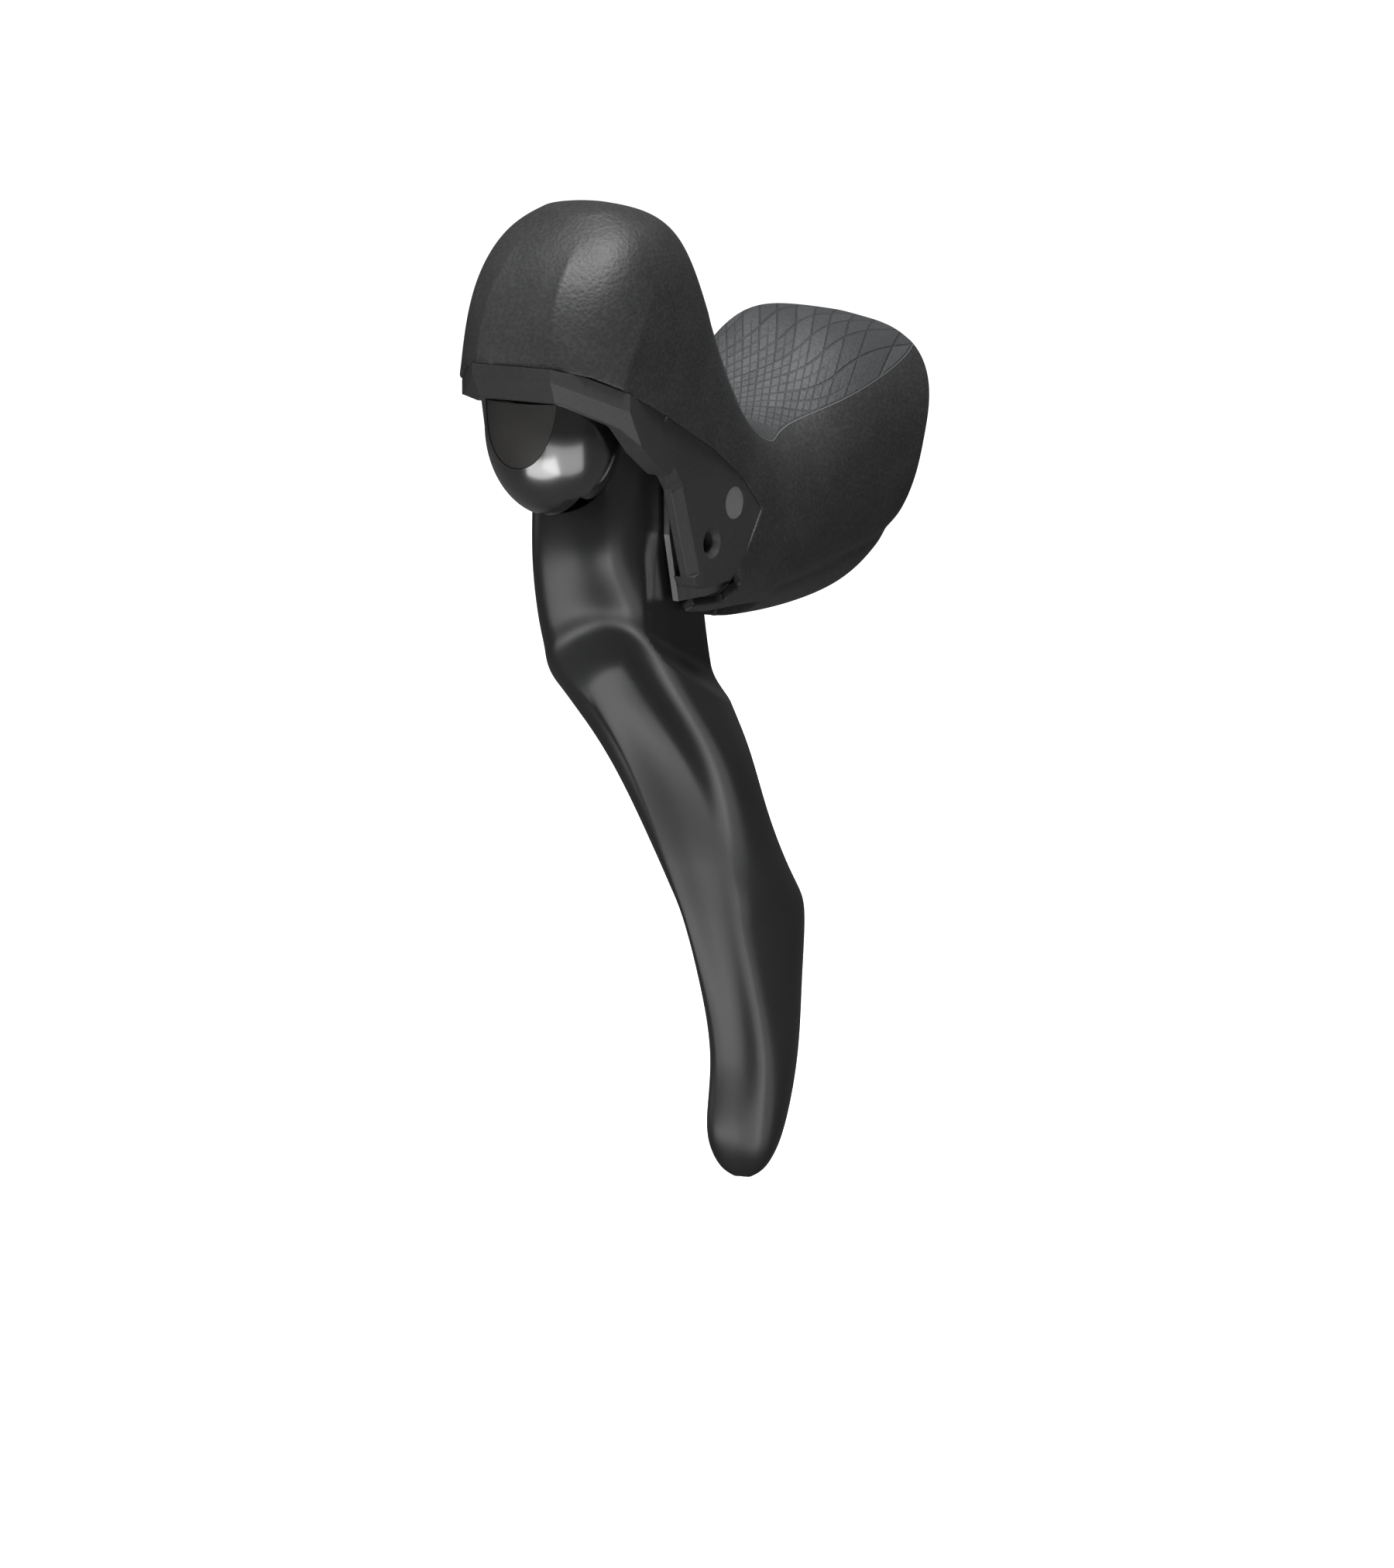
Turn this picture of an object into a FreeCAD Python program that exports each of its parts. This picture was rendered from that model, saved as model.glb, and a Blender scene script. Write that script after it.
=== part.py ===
import FreeCAD, Part
import os
from math import atan2, cos, degrees, hypot, pi, radians, sin, tan
from FreeCAD import Vector

# Left-hand hydraulic brake lever for a drop handlebar, in millimetres.
# The origin is the centre of the handlebar clamp. +X points to the rider's outer side,
# -Y points forward, and +Z points up. The handlebar passes nearly upright through the clamp.

# Clearances, each way: pressed or threaded pieces, turning ones, seats, and room round screw heads
PRESS_FIT = 0.02
TURN_FIT = 0.04
SEAT_GAP = 0.05
HEAD_ROOM = 0.2
SOCKET_SHARE = 0.6

# Handlebar clamp, in a frame that leans with the bar
BAR_RADIUS = 12.0
BAR_LEAN = 17.0
BAR_BEND_START = 6.0
BAR_BEND = 24.0
BAND_THICKNESS = 1.2
BAND_WIDTH = 14.0
BAND_LEG = 10.0
BAND_CLEARANCE = 0.25
HOOK_REACH = 2.0
CLAMP_SCREW_RADIUS = 2.5
CLAMP_SCREW_INSET = 1.0
CLAMP_SCREW_X = BAR_RADIUS - CLAMP_SCREW_INSET
CLAMP_SCREW_DROP = 3.0
CLAMP_HEAD_RADIUS = 3.5
CLAMP_HEAD_LENGTH = 3.5
CLAMP_HEAD_ROOM = 1.0
CLAMP_SOCKET_RADIUS = 2.0
CLAMP_SOCKET_DEPTH = 2.5
CLAMP_LUG_FRONT = 20.0
NUT_WIDTH = 6.8
NUT_DEPTH = 3.6
NUT_HEIGHT = 8.0
SADDLE_END = 4.5
NUT_TRAVEL = 2.0

# Hood: stations from the rear rim, over the saddle, to the top of the horn.
# Each row has the top and bottom points in the side view (y, z), the half width,
# the squareness of the outer top, inner top and bottom corners, and the cant of the top.
HOOD_STATIONS = (
    ((4.5, 20.1), (-10.4, -21.9), 18.2, 2.8, 3.6, 2.7, 0.17),
    ((-9.0, 22.0), (-17.4, -27.6), 18.1, 2.8, 3.6, 2.7, 0.12),
    ((-21.0, 20.8), (-27.0, -29.9), 18.0, 2.7, 3.5, 2.7, 0.40),
    ((-33.0, 14.1), (-37.8, -30.5), 18.0, 2.5, 3.4, 2.6, 0.38),
    ((-44.0, 7.8), (-49.5, -30.2), 18.1, 2.4, 3.0, 2.6, 0.06),
    ((-53.0, 9.8), (-64.0, -29.6), 18.5, 2.5, 2.8, 2.6, 0.03),
    ((-59.0, 16.5), (-84.0, -27.0), 18.9, 2.6, 2.6, 2.8, 0.0),
    ((-63.6, 25.0), (-103.0, -13.0), 19.2, 2.6, 2.6, 3.0, 0.0),
    ((-67.8, 33.3), (-113.3, 5.0), 19.2, 2.6, 2.6, 2.8, 0.0),
    ((-71.6, 40.0), (-114.6, 21.5), 18.8, 2.5, 2.5, 2.5, 0.0),
    ((-76.2, 45.6), (-111.5, 34.0), 17.4, 2.4, 2.4, 2.3, 0.0),
    ((-81.5, 49.0), (-105.0, 43.3), 13.8, 2.2, 2.2, 2.1, 0.0),
    ((-88.0, 50.6), (-97.5, 49.2), 7.5, 2.0, 2.0, 2.0, 0.0),
)
SECTION_POINTS = 20
HOOD_WALL = 2.0
HOOD_FIT = 0.1

# Edge of the hood in the side view, from the front of the horn down to the underside
HOOD_EDGE = (
    (-115.0, 23.1),
    (-110.5, 21.7),
    (-104.2, 18.3),
    (-90.5, 12.0),
    (-76.1, 4.9),
    (-66.7, -1.2),
    (-60.5, -7.5),
    (-67.6, -17.6),
    (-64.6, -21.6),
    (-67.8, -24.4),
    (-77.0, -24.0),
    (-79.5, -26.5),
    (-76.0, -32.0),
)
EDGE_BEYOND = 40.0

# Plan of the bracket's rim: a flat front, two oblique facets and flat sides
RIM_FRONT = -115.3
RIM_FACET_HALF = 8.5
RIM_CORNER = -104.2
RIM_BACK = -50.0
RIM_WALL = 2.7
CHAMFER_TOP = 20.95
CHAMFER_FALL = 6.0
CHAMFER_SLOPE = 0.5
EAR_BEVEL = 2.1
EAR_BEVEL_DEPTH = 1.3
EAR_INNER_BEVEL = 3.0
EAR_INNER_DEPTH = 1.6

# Lower edge of the bracket's rim and ears in the side view
RIM_EDGE = (
    (-117.0, 18.6),
    (-111.2, 16.0),
    (-104.3, 11.9),
    (-98.8, 6.8),
    (-94.5, 3.9),
    (-91.0, 1.6),
    (-89.0, -0.9),
    (-87.1, -6.5),
    (-83.5, -17.1),
    (-82.2, -19.3),
    (-80.6, -20.1),
    (-74.0, -19.9),
    (-71.2, -19.6),
    (-69.2, -18.6),
    (-67.6, -17.6),
)
BEVELLED = (5, 9)
BEVEL_LAP = 0.7

# The ear on the rider's inner side is narrower
FAR_EAR_EDGE = (
    (-106.0, 15.9),
    (-98.2, 14.8),
    (-97.0, 9.0),
    (-93.5, 1.0),
    (-89.0, -2.5),
    (-82.0, -6.4),
    (-78.2, -10.2),
    (-76.8, -17.7),
    (-76.0, -19.4),
    (-72.4, -18.9),
)
CHEEK_OUTER = 12.2
CHEEK_GAP = 0.4
PLATE_THICKNESS = 1.2
EAR_WALL = 4.5
CAVITY_HALF = CHEEK_OUTER + CHEEK_GAP + PLATE_THICKNESS
EAR_OUTER = CAVITY_HALF + EAR_WALL
CAVITY_CEILING = 20.5
CAVITY_STEP_FRONT = -86.0
CAVITY_STEP_REAR = -79.0
PIVOT_CEILING = 5.5
CEILING_CHAMFER = 3.0
CAVITY_REAR = -56.5
CAVITY_FOOT = (-52.0, -31.0)
CAVITY_KNEE = -12.0
HOOD_SLOT_LIP = 0.9
HOOD_SLOT_HALF = CAVITY_HALF - HOOD_SLOT_LIP

# Lever pivot
PIVOT = (-69.6, -5.5)
AXLE_RADIUS = 3.0
AXLE_FIT = 0.03
BUSH_WALL = 1.0
CHEEK_WALL = 3.7
CHEEK_INNER = CHEEK_OUTER - CHEEK_WALL
BOSS_RADIUS = 6.5
SIDE_GAP = 0.3
EAR_HOLE = (-77.2, -12.0)
EAR_HOLE_RADIUS = 1.9
EAR_HOLE_MOUTH = 2.9
EAR_PLATE_TOP = 1.5
EAR_PLATE_REAR = ((-64.4, -21.2), (-58.0, -10.0))
EAR_PLATE_FRONTS = {
    1: ((-84.5, -10.0), (-81.5, -22.6), (-72.2, -22.8), (-67.8, -22.4)),
    -1: ((-77.0, -10.0), (-76.0, -19.0)),
}
SET_SCREW_RADIUS = 1.5
SET_SCREW_LENGTH = 6.0
SET_SCREW_X = -(CAVITY_HALF + EAR_OUTER) / 2
SET_SCREW_BITE = 0.5
SET_SCREW_SOCKET = 1.5
AXLE_RECESS = (0.2, 0.1)

# Blade: one row a level, with the front inner, front outer, rear outer and rear inner corners,
# and the depth of the finger dish in the front face
BLADE_LEVELS = (
    (12.0, (-9.5, -96.0), (10.5, -93.6), (12.2, -84.0), (-12.2, -84.0), 0.0),
    (0.0, (-8.5, -98.6), (11.4, -94.0), (12.2, -72.0), (-12.2, -72.0), 0.0),
    (-12.0, (-8.3, -99.6), (11.2, -95.8), (11.6, -68.0), (-10.6, -68.0), 0.0),
    (-24.0, (-8.9, -97.4), (13.0, -90.6), (12.1, -67.5), (-9.6, -68.4), 0.0),
    (-37.5, (-7.3, -93.5), (17.2, -85.2), (13.6, -64.9), (-5.3, -67.5), 0.0),
    (-50.0, (-1.5, -88.1), (21.8, -80.1), (17.7, -63.9), (2.7, -67.5), 0.7),
    (-63.5, (4.9, -84.3), (24.4, -76.8), (21.4, -62.0), (8.7, -66.5), 1.4),
    (-76.0, (10.0, -82.1), (25.8, -76.1), (24.7, -57.3), (13.7, -62.5), 1.7),
    (-83.0, (12.6, -81.1), (26.5, -76.0), (25.9, -55.1), (15.7, -60.5), 1.7),
    (-95.0, (15.5, -79.6), (28.9, -75.4), (27.2, -58.5), (17.7, -63.0), 1.6),
    (-108.0, (17.4, -78.6), (30.7, -75.5), (28.6, -63.0), (19.2, -66.0), 1.3),
    (-119.0, (18.0, -79.9), (30.3, -76.0), (29.2, -68.1), (19.8, -70.2), 0.6),
    (-126.0, (19.5, -79.4), (29.1, -76.6), (28.3, -71.2), (21.2, -72.4), 0.0),
    (-129.2, (22.1, -77.5), (26.6, -76.2), (26.5, -74.2), (22.8, -74.8), 0.0),
)
BLADE_CORNER = 0.12
BLADE_TOP = ((-99.0, 12.5), (-87.5, 12.5), (-80.5, 1.3), (-60.0, 1.3))
CHANNEL_HALF = 5.8
CHANNEL_FRONT = -80.5
CHANNEL_BOTTOM = -25.5
CHEEK_ROOM_FRONT = -97.0
FLOOR_TOP = -2.5
ROOM_FLOOR = -13.5
WAIST_LOW = -23.5
HOOD_SWEEP_LOW = -33.5
WAIST_FRONT = -88.8
WEB_OUTLINE = ((-4.0, 5.0), (-16.0, 3.0), (-16.0, -14.5), (1.5, -14.5), (6.0, -2.0))
NOSE_HALF = 7.0
NOSE_PROFILE = (
    (-104.0, 9.0), (-104.0, 2.0), (-97.5, -7.0), (-80.5, -7.0), (-80.5, -2.5), (-95.0, -2.5), (-95.0, 9.0),
)

# Knuckle cover and plate
DOME_X = -0.7
DOME_CENTRE = (-100.6, 11.0)
DOME_RADIUS = 12.5
DOME_DEPTH = 4.2
DOME_WALL = 1.7
DOME_TOP = 16.3
DOME_REAR = -92.0
DOME_FIT = 0.1
PLATE_X = -1.2
PLATE_HALF_WIDTH = 8.0
PLATE_TOP = 18.2
PLATE_HEIGHT = 14.0
PLATE_DEPTH = 0.7
PLATE_SINK = 0.1
COVER_BOSS_WALL = 1.2
COVER_SCREW_Z = 6.0
COVER_SCREW_RADIUS = 1.25
COVER_HEAD_RADIUS = 2.3
COVER_HEAD_LENGTH = 1.6
COVER_SEAT = -109.6

# Link, roller and reach adjuster
HUB_RADIUS = 6.0
HUB_RIGHT = 3.5
SLEEVE_RADIUS = 4.6
THRUST_ARM = 14.0
THRUST_LEAN = 12.0
ROLLER_RADIUS = 3.0
ROLLER_PIN_RADIUS = 1.2
FORK_INNER = 3.3
FORK_OUTER = 5.2
TAB_HALF = 4.5
TAB_LOW = -0.5
TAB_HIGH = 3.5
TAB_FRONT = -91.0
TAB_SLOPE = ((-9.5, 9.5), (2.0, 6.1))
ARM_ROOT = (-4.6, 1.0)
ARM_END = ((-2.6, -1.6), (1.2, -2.4))
ROLLER_ROOM = 0.5
REACH_Y = -86.0
REACH_RADIUS = 2.0
REACH_HEAD_RADIUS = 3.5
REACH_HEAD_LENGTH = 2.6
REACH_TIP = -11.5
REACH_NUT_RADIUS = 3.2
REACH_NUT_LENGTH = 9.0
REACH_SOCKET = 1.6
REACH_PLAY = 0.35
REACH_SLOT = 0.7
REACH_HOLE_LOW = -15.0
STROKE_SCREW_RADIUS = 2.0
STROKE_SLOT = (0.8, 0.3)

# Hydraulics
CYLINDER_BORE = 5.0
CYLINDER_WALL = 1.4
CYLINDER_FRONT = -54.5
CYLINDER_REAR = -25.0
CYLINDER_END = 2.0
PISTON_FIT = 0.04
PISTON_LENGTH = 15.0
PISTON_REST = 0.3
PISTON_NECK = 3.4
CUP_LENGTH = 2.4
CUP_LIP = 1.2
CUP_FROM_FRONT = 4.6
CUP_FROM_REAR = 1.2
SNAP_RING_INSET = 0.8
SNAP_RING_THICKNESS = 1.0
SNAP_RING_DEPTH = 0.7
SNAP_RING_BORE = 3.4
SNAP_RING_GAP = 0.8
ROD_RADIUS = 2.0
ROD_BALL_DEPTH = 2.0
ROD_ROOM = 0.3
ROD_PAD_RADIUS = 3.6
ROD_PAD_LENGTH = 2.2
CONTACT_GAP = 0.3
SPRING_WIRE = 0.6
SPRING_RADIUS = 3.6
SPRING_TURNS = 5.0

# Return spring around the axle
RETURN_WIRE = 0.65
RETURN_RADIUS = 5.6
RETURN_TURNS = 2.4
RETURN_PITCH = 1.4
RETURN_GAP = 0.15

# Reservoir in the horn
RESERVOIR_HALF = 8.0
RESERVOIR_FRONT = -101.5
RESERVOIR_REAR = -83.0
RESERVOIR_FLOOR = 24.5
LAND_Z = 38.0
DIAPHRAGM_THICKNESS = 1.0
DIAPHRAGM_FLANGE = 1.4
DIAPHRAGM_DROP = 5.0
DIAPHRAGM_GAP = 1.0
LID_SCREW_X = 11.2
LID_SCREW_YS = (-96.5, -85.0)
LID_SCREW_RADIUS = 1.25
LID_SCREW_SEAT = 39.8
LID_HEAD_RADIUS = 2.0
LID_HEAD_LENGTH = 1.6
LID_SCREW_DEPTH = 30.0
LID_SCREW_SPARE = 1.5
BLEED_Y = -79.8
BLEED_RADIUS = 1.6
BLEED_SCREW_RADIUS = 2.5
BLEED_TOP = 43.4
BLEED_SHANK = 7.0
BLEED_SOCKET = 1.2
BLEED_SEAT = 40.3
BLEED_DEPTH = 30.0
O_RING_WIRE = 0.6
PASSAGE_RADIUS = 0.8
PASSAGE_KNEE = (-54.2, 0.6)
PASSAGE_RISE = 2.0
REFILL_SETBACK = 21.0

# Hose port at the rear of the bracket
PORT_X = -4.0
PORT_LEAN = 25.0
PORT_MOUTH = (-12.0, 13.6)
PORT_RADIUS = 3.5
PORT_LENGTH = 11.0
PORT_RECESS = 4.6
HOSE_PASSAGE = 1.2
HOSE_PASSAGE_END = 32.0
FAR = 60.0


def point(x, yz):
    return Vector(x, yz[0], yz[1])


def box(x0, x1, y0, y1, z0, z1):
    return Part.makeBox(x1 - x0, y1 - y0, z1 - z0, Vector(x0, y0, z0))


def rod(radius, start, end):
    return Part.makeCylinder(radius, (end - start).Length, start, end - start)


def tube(outer, inner, start, end):
    return rod(outer, start, end).cut(rod(inner, start, end))


def across(radius, yz, x0, x1):
    """A round bar along X at a place in the side view."""
    return rod(radius, point(x0, yz), point(x1, yz))


def side_prism(outline, x0, x1):
    """A straight-sided solid with an outline in the side view, between two X planes."""
    points = [point(x0, yz) for yz in outline]
    face = Part.Face(Part.makePolygon(points + points[:1]))
    return face.extrude(Vector(x1 - x0, 0, 0))


def with_bar(shape):
    """Turns a shape made about an upright bar to the bar's real lean."""
    shape.rotate(Vector(0, 0, 0), Vector(1, 0, 0), -BAR_LEAN)
    return shape


def closed_curve(points):
    curve = Part.BSplineCurve()
    curve.interpolate(Points=points, PeriodicFlag=True)
    return Part.Wire(curve.toShape())


def inset_line(line, towards, inset):
    """Moves a side-view line by the inset, square to itself, to the side of another line."""
    moved = []
    last = len(line) - 1
    for i, (y, z) in enumerate(line):
        before = line[max(i - 1, 0)]
        after = line[min(i + 1, last)]
        ty, tz = after[0] - before[0], after[1] - before[1]
        size = hypot(ty, tz)
        ny, nz = -tz / size, ty / size
        if ny * (towards[i][0] - y) + nz * (towards[i][1] - z) < 0:
            ny, nz = -ny, -nz
        moved.append((y + inset * ny, z + inset * nz))
    return moved


def signed_power(value, power):
    return abs(value) ** power * (1 if value >= 0 else -1)


def hood_section(top, bottom, half, outer_top, inner_top, low, cant):
    """One closed section of the hood, in the plane through X and the line from top to bottom."""
    mid = ((top[0] + bottom[0]) / 2, (top[1] + bottom[1]) / 2)
    rise = ((bottom[0] - top[0]) / 2, (bottom[1] - top[1]) / 2)
    size = hypot(*rise)
    points = []
    for k in range(SECTION_POINTS):
        angle = 2 * pi * k / SECTION_POINTS
        square = low if cos(angle) > 0 else (outer_top if sin(angle) > 0 else inner_top)
        along = signed_power(cos(angle), 2 / square)
        x = half * signed_power(sin(angle), 2 / square)
        lift = cant * x * max(-along, 0) / size
        points.append(point(x, (mid[0] + (along + lift) * rise[0], mid[1] + (along + lift) * rise[1])))
    return closed_curve(points)


def hood_form(inset, overrun=0.0):
    """The hood's whole outer form, moved in by the inset and carried past the rear rim."""
    tops = [row[0] for row in HOOD_STATIONS]
    bottoms = [row[1] for row in HOOD_STATIONS]
    inner_tops = inset_line(tops, bottoms, inset)
    inner_bottoms = inset_line(bottoms, tops, inset)
    rows = []
    for row, top, bottom in zip(HOOD_STATIONS, inner_tops, inner_bottoms):
        rows.append((top, bottom, row[2] - inset) + tuple(row[3:]))
    if overrun:
        first, second = rows[0], rows[1]
        top = tuple(a + overrun * (a - b) for a, b in zip(first[0], second[0]))
        bottom = tuple(a + overrun * (a - b) for a, b in zip(first[1], second[1]))
        rows.insert(0, (top, bottom) + first[2:])
    return Part.makeLoft([hood_section(*row) for row in rows], True, False)


def front_region():
    """Everything in front of and below the hood's edge."""
    start = HOOD_EDGE[0]
    end = HOOD_EDGE[-1]
    outline = [(start[0] - EDGE_BEYOND, start[1] + EDGE_BEYOND / 2)] + list(HOOD_EDGE)
    outline += [(end[0], end[1] - EDGE_BEYOND), (start[0] - EDGE_BEYOND, end[1] - EDGE_BEYOND)]
    return side_prism(outline, -FAR, FAR)


def before_far_ear():
    """What is taken off the front of the narrower ear."""
    front, low = RIM_EDGE[0][0], FAR_EAR_EDGE[-1][1] - 5
    outline = list(FAR_EAR_EDGE) + [(FAR_EAR_EDGE[-1][0], low), (front, low), (front, FAR_EAR_EDGE[0][1])]
    return side_prism(outline, -FAR, 0)


def below_rim():
    """Everything below the bracket's rim and ears, down past the notch behind them."""
    start = RIM_EDGE[0]
    ear, notch = HOOD_EDGE[7], HOOD_EDGE[8]
    beyond = (2 * notch[0] - ear[0], 2 * notch[1] - ear[1])
    outline = [(start[0] - EDGE_BEYOND, start[1])] + list(RIM_EDGE)
    outline += [beyond, (beyond[0], -2 * FAR), (start[0] - EDGE_BEYOND, -2 * FAR)]
    return side_prism(outline, -FAR, FAR)


def rim_turn():
    """Angle between the rim's front facet and an oblique one."""
    return atan2(RIM_CORNER - RIM_FRONT, EAR_OUTER - RIM_FACET_HALF)


def rim_plan(inset=0.0):
    """The faceted plan of the rim as an upright bar, drawn in by an inset."""
    turn = rim_turn()
    side = EAR_OUTER - inset
    half = (
        (RIM_FACET_HALF - inset * tan(turn / 2), RIM_FRONT + inset),
        (side, RIM_CORNER + inset * tan(pi / 4 - turn / 2)),
        (side, RIM_BACK),
    )
    corners = [Vector(x, y, -FAR) for x, y in half]
    corners += [Vector(-x, y, -FAR) for x, y in reversed(half)]
    face = Part.Face(Part.makePolygon(corners + corners[:1]))
    return face.extrude(Vector(0, 0, 2 * FAR))


def facet_wedge():
    """What a sloping chamfer takes off a facet that looks forward, from a line through the origin."""
    deep = EDGE_BEYOND
    outline = ((0, 0), (deep * CHAMFER_SLOPE, -deep), (-deep, -deep), (-deep, 0))
    return side_prism(outline, -deep, deep)


def rim_chamfers():
    """The sloping lower band on the front facet and on the two oblique ones."""
    top = Vector(0, RIM_FRONT, CHAMFER_TOP)
    wedge = facet_wedge()
    wedge.translate(top)
    wedges = [wedge]
    run = hypot(EAR_OUTER - RIM_FACET_HALF, RIM_CORNER - RIM_FRONT)
    turn = degrees(rim_turn())
    fall = degrees(atan2(CHAMFER_FALL, run))
    for side in (-1, 1):
        wedge = facet_wedge()
        wedge.rotate(Vector(0, 0, 0), Vector(0, 1, 0), side * fall)
        wedge.rotate(Vector(0, 0, 0), Vector(0, 0, 1), side * turn)
        wedge.translate(top + Vector(side * RIM_FACET_HALF, 0, 0))
        wedges.append(wedge)
    return wedges


def ear_bevels():
    """Wedges that bevel the front edges of the ears, outside and inside."""
    near = RIM_EDGE[BEVELLED[0]:BEVELLED[1]]
    deep = EAR_WALL - EAR_INNER_DEPTH
    outer = ((0, EAR_BEVEL), (EAR_BEVEL_DEPTH, 0), (EAR_BEVEL_DEPTH, -EAR_BEVEL), (-1, -EAR_BEVEL),
             (-1, EAR_BEVEL))
    inner = ((EAR_WALL, EAR_INNER_BEVEL), (deep, 0), (deep, -EAR_BEVEL), (EAR_WALL + 1, -EAR_BEVEL),
             (EAR_WALL + 1, EAR_INNER_BEVEL))
    wedges = []
    for side, line in ((1, near), (-1, FAR_EAR_EDGE[3:9])):
        for a, b in zip(line, line[1:]):
            ty, tz = b[0] - a[0], b[1] - a[1]
            size = hypot(ty, tz)
            inward = (-tz / size, ty / size)
            lap = Vector(0, ty, tz) * (BEVEL_LAP / size)
            for corners in (outer, inner):
                points = [Vector(side * (EAR_OUTER - depth), a[0] + inward[0] * along, a[1] + inward[1] * along) - lap
                          for depth, along in corners]
                face = Part.Face(Part.makePolygon(points + points[:1]))
                wedges.append(face.extrude(Vector(0, ty, tz) + lap * 2))
    return wedges


def cavity(half):
    """The space between the ears that the lever swings in."""
    outline = (
        (RIM_FRONT, -2 * FAR),
        (RIM_FRONT, CAVITY_CEILING),
        (CAVITY_STEP_FRONT, CAVITY_CEILING),
        (CAVITY_STEP_REAR, PIVOT_CEILING),
        (CAVITY_REAR - CEILING_CHAMFER, PIVOT_CEILING),
        (CAVITY_REAR, PIVOT_CEILING - CEILING_CHAMFER),
        (CAVITY_REAR, CAVITY_KNEE),
        CAVITY_FOOT,
        (CAVITY_FOOT[0], -2 * FAR),
    )
    return side_prism(outline, -half, half).common(rim_plan(RIM_WALL))


def port_point(distance):
    """A point on the hose port's axis, from its mouth outwards."""
    lean = radians(PORT_LEAN)
    return Vector(PORT_X, PORT_MOUTH[0] + distance * sin(lean), PORT_MOUTH[1] + distance * cos(lean))


def bar_room():
    """The handlebar's space: straight through the clamp, and also along the bend back above it."""
    radius = BAR_RADIUS + BAND_CLEARANCE
    bend = Vector(0, 0, BAR_BEND_START)
    lean = radians(BAR_BEND)
    away = bend + Vector(0, sin(lean), cos(lean)) * FAR
    return with_bar(rod(radius, Vector(0, 0, -FAR), Vector(0, 0, FAR)).fuse(rod(radius, bend, away)))


def hood_cover():
    hood = hood_form(0.0).cut(hood_form(HOOD_WALL, 1.0))
    hood = hood.cut(front_region()).cut(cavity(HOOD_SLOT_HALF)).cut(bar_room())
    return hood.cut(rod(PORT_RECESS, port_point(0), port_point(FAR)))


def bracket_raw():
    core = hood_form(HOOD_WALL + HOOD_FIT, 1.0).cut(front_region())
    rim = rim_plan().common(front_region()).cut(below_rim())
    for wedge in rim_chamfers() + ear_bevels() + [before_far_ear()]:
        rim = rim.cut(wedge)
    return core.fuse(rim).cut(cavity(CAVITY_HALF))


def clamp_room():
    """What the band, its nut and its bolt take out of the bracket, in the bar's frame."""
    half = BAND_WIDTH / 2 + BAND_CLEARANCE
    inner = BAR_RADIUS - BAND_CLEARANCE
    outer = BAR_RADIUS + BAND_THICKNESS + BAND_CLEARANCE
    nut_left = CLAMP_SCREW_X - NUT_WIDTH / 2 - BAND_CLEARANCE
    nut_front = -BAND_LEG - NUT_DEPTH - NUT_TRAVEL
    nut_half = NUT_HEIGHT / 2 + BAND_CLEARANCE
    drop = CLAMP_SCREW_DROP
    head_half = CLAMP_HEAD_RADIUS + BAND_CLEARANCE
    head_front = -CLAMP_LUG_FRONT - CLAMP_HEAD_LENGTH - CLAMP_HEAD_ROOM
    room = box(-FAR, FAR, -SADDLE_END, FAR, -FAR, FAR)
    room = room.fuse(rod(BAR_RADIUS, Vector(0, 0, -FAR), Vector(0, 0, FAR)))
    room = room.fuse(box(inner, outer, -BAND_LEG, 0, -half, half))
    room = room.fuse(box(-outer, -inner, -BAND_LEG - BAND_CLEARANCE, 0, -half, half))
    hook_low = -BAND_LEG - BAND_CLEARANCE
    hook_high = hook_low + BAND_THICKNESS + 2 * BAND_CLEARANCE
    room = room.fuse(box(-outer - HOOK_REACH, -inner, hook_low, hook_high, -half, half))
    nut_rear = BAND_THICKNESS - BAND_LEG
    room = room.fuse(box(nut_left, FAR, nut_front, nut_rear, -nut_half - drop, nut_half - drop))
    screw = Vector(CLAMP_SCREW_X, 0, -drop)
    lug = Vector(CLAMP_SCREW_X, -CLAMP_LUG_FRONT - CLAMP_HEAD_ROOM, -drop)
    room = room.fuse(rod(CLAMP_SCREW_RADIUS + HEAD_ROOM, lug, screw))
    head = box(CLAMP_SCREW_X - head_half, FAR, head_front, -CLAMP_LUG_FRONT,
               -head_half - drop, head_half - drop)
    return with_bar(room.fuse(head))


def hydraulic_room():
    """Bores and passages of the bracket."""
    centre = thrust_height()
    outer = CYLINDER_BORE + CYLINDER_WALL
    room = rod(outer, Vector(0, CAVITY_REAR - CYLINDER_WALL, centre), Vector(0, CYLINDER_REAR, centre))
    room = room.fuse(box(-RESERVOIR_HALF, RESERVOIR_HALF, RESERVOIR_FRONT, RESERVOIR_REAR,
                         RESERVOIR_FLOOR, FAR))
    knee = point(0, PASSAGE_KNEE)
    top = Vector(0, RESERVOIR_REAR - PASSAGE_RADIUS, RESERVOIR_FLOOR + PASSAGE_RISE)
    room = room.fuse(rod(PASSAGE_RADIUS, top, knee))
    room = room.fuse(rod(PASSAGE_RADIUS, knee, Vector(0, PASSAGE_KNEE[0], centre)))
    room = room.fuse(rod(PORT_RECESS, port_point(0), port_point(FAR)))
    room = room.fuse(rod(PORT_RADIUS, port_point(-PORT_LENGTH), port_point(0)))
    room = room.fuse(rod(HOSE_PASSAGE, port_point(-HOSE_PASSAGE_END), port_point(-PORT_LENGTH)))
    return room


def lid_line():
    """Everything above the land that the reservoir's lid sits on."""
    return box(-FAR, FAR, -2 * FAR, 0, LAND_Z, FAR)


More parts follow.
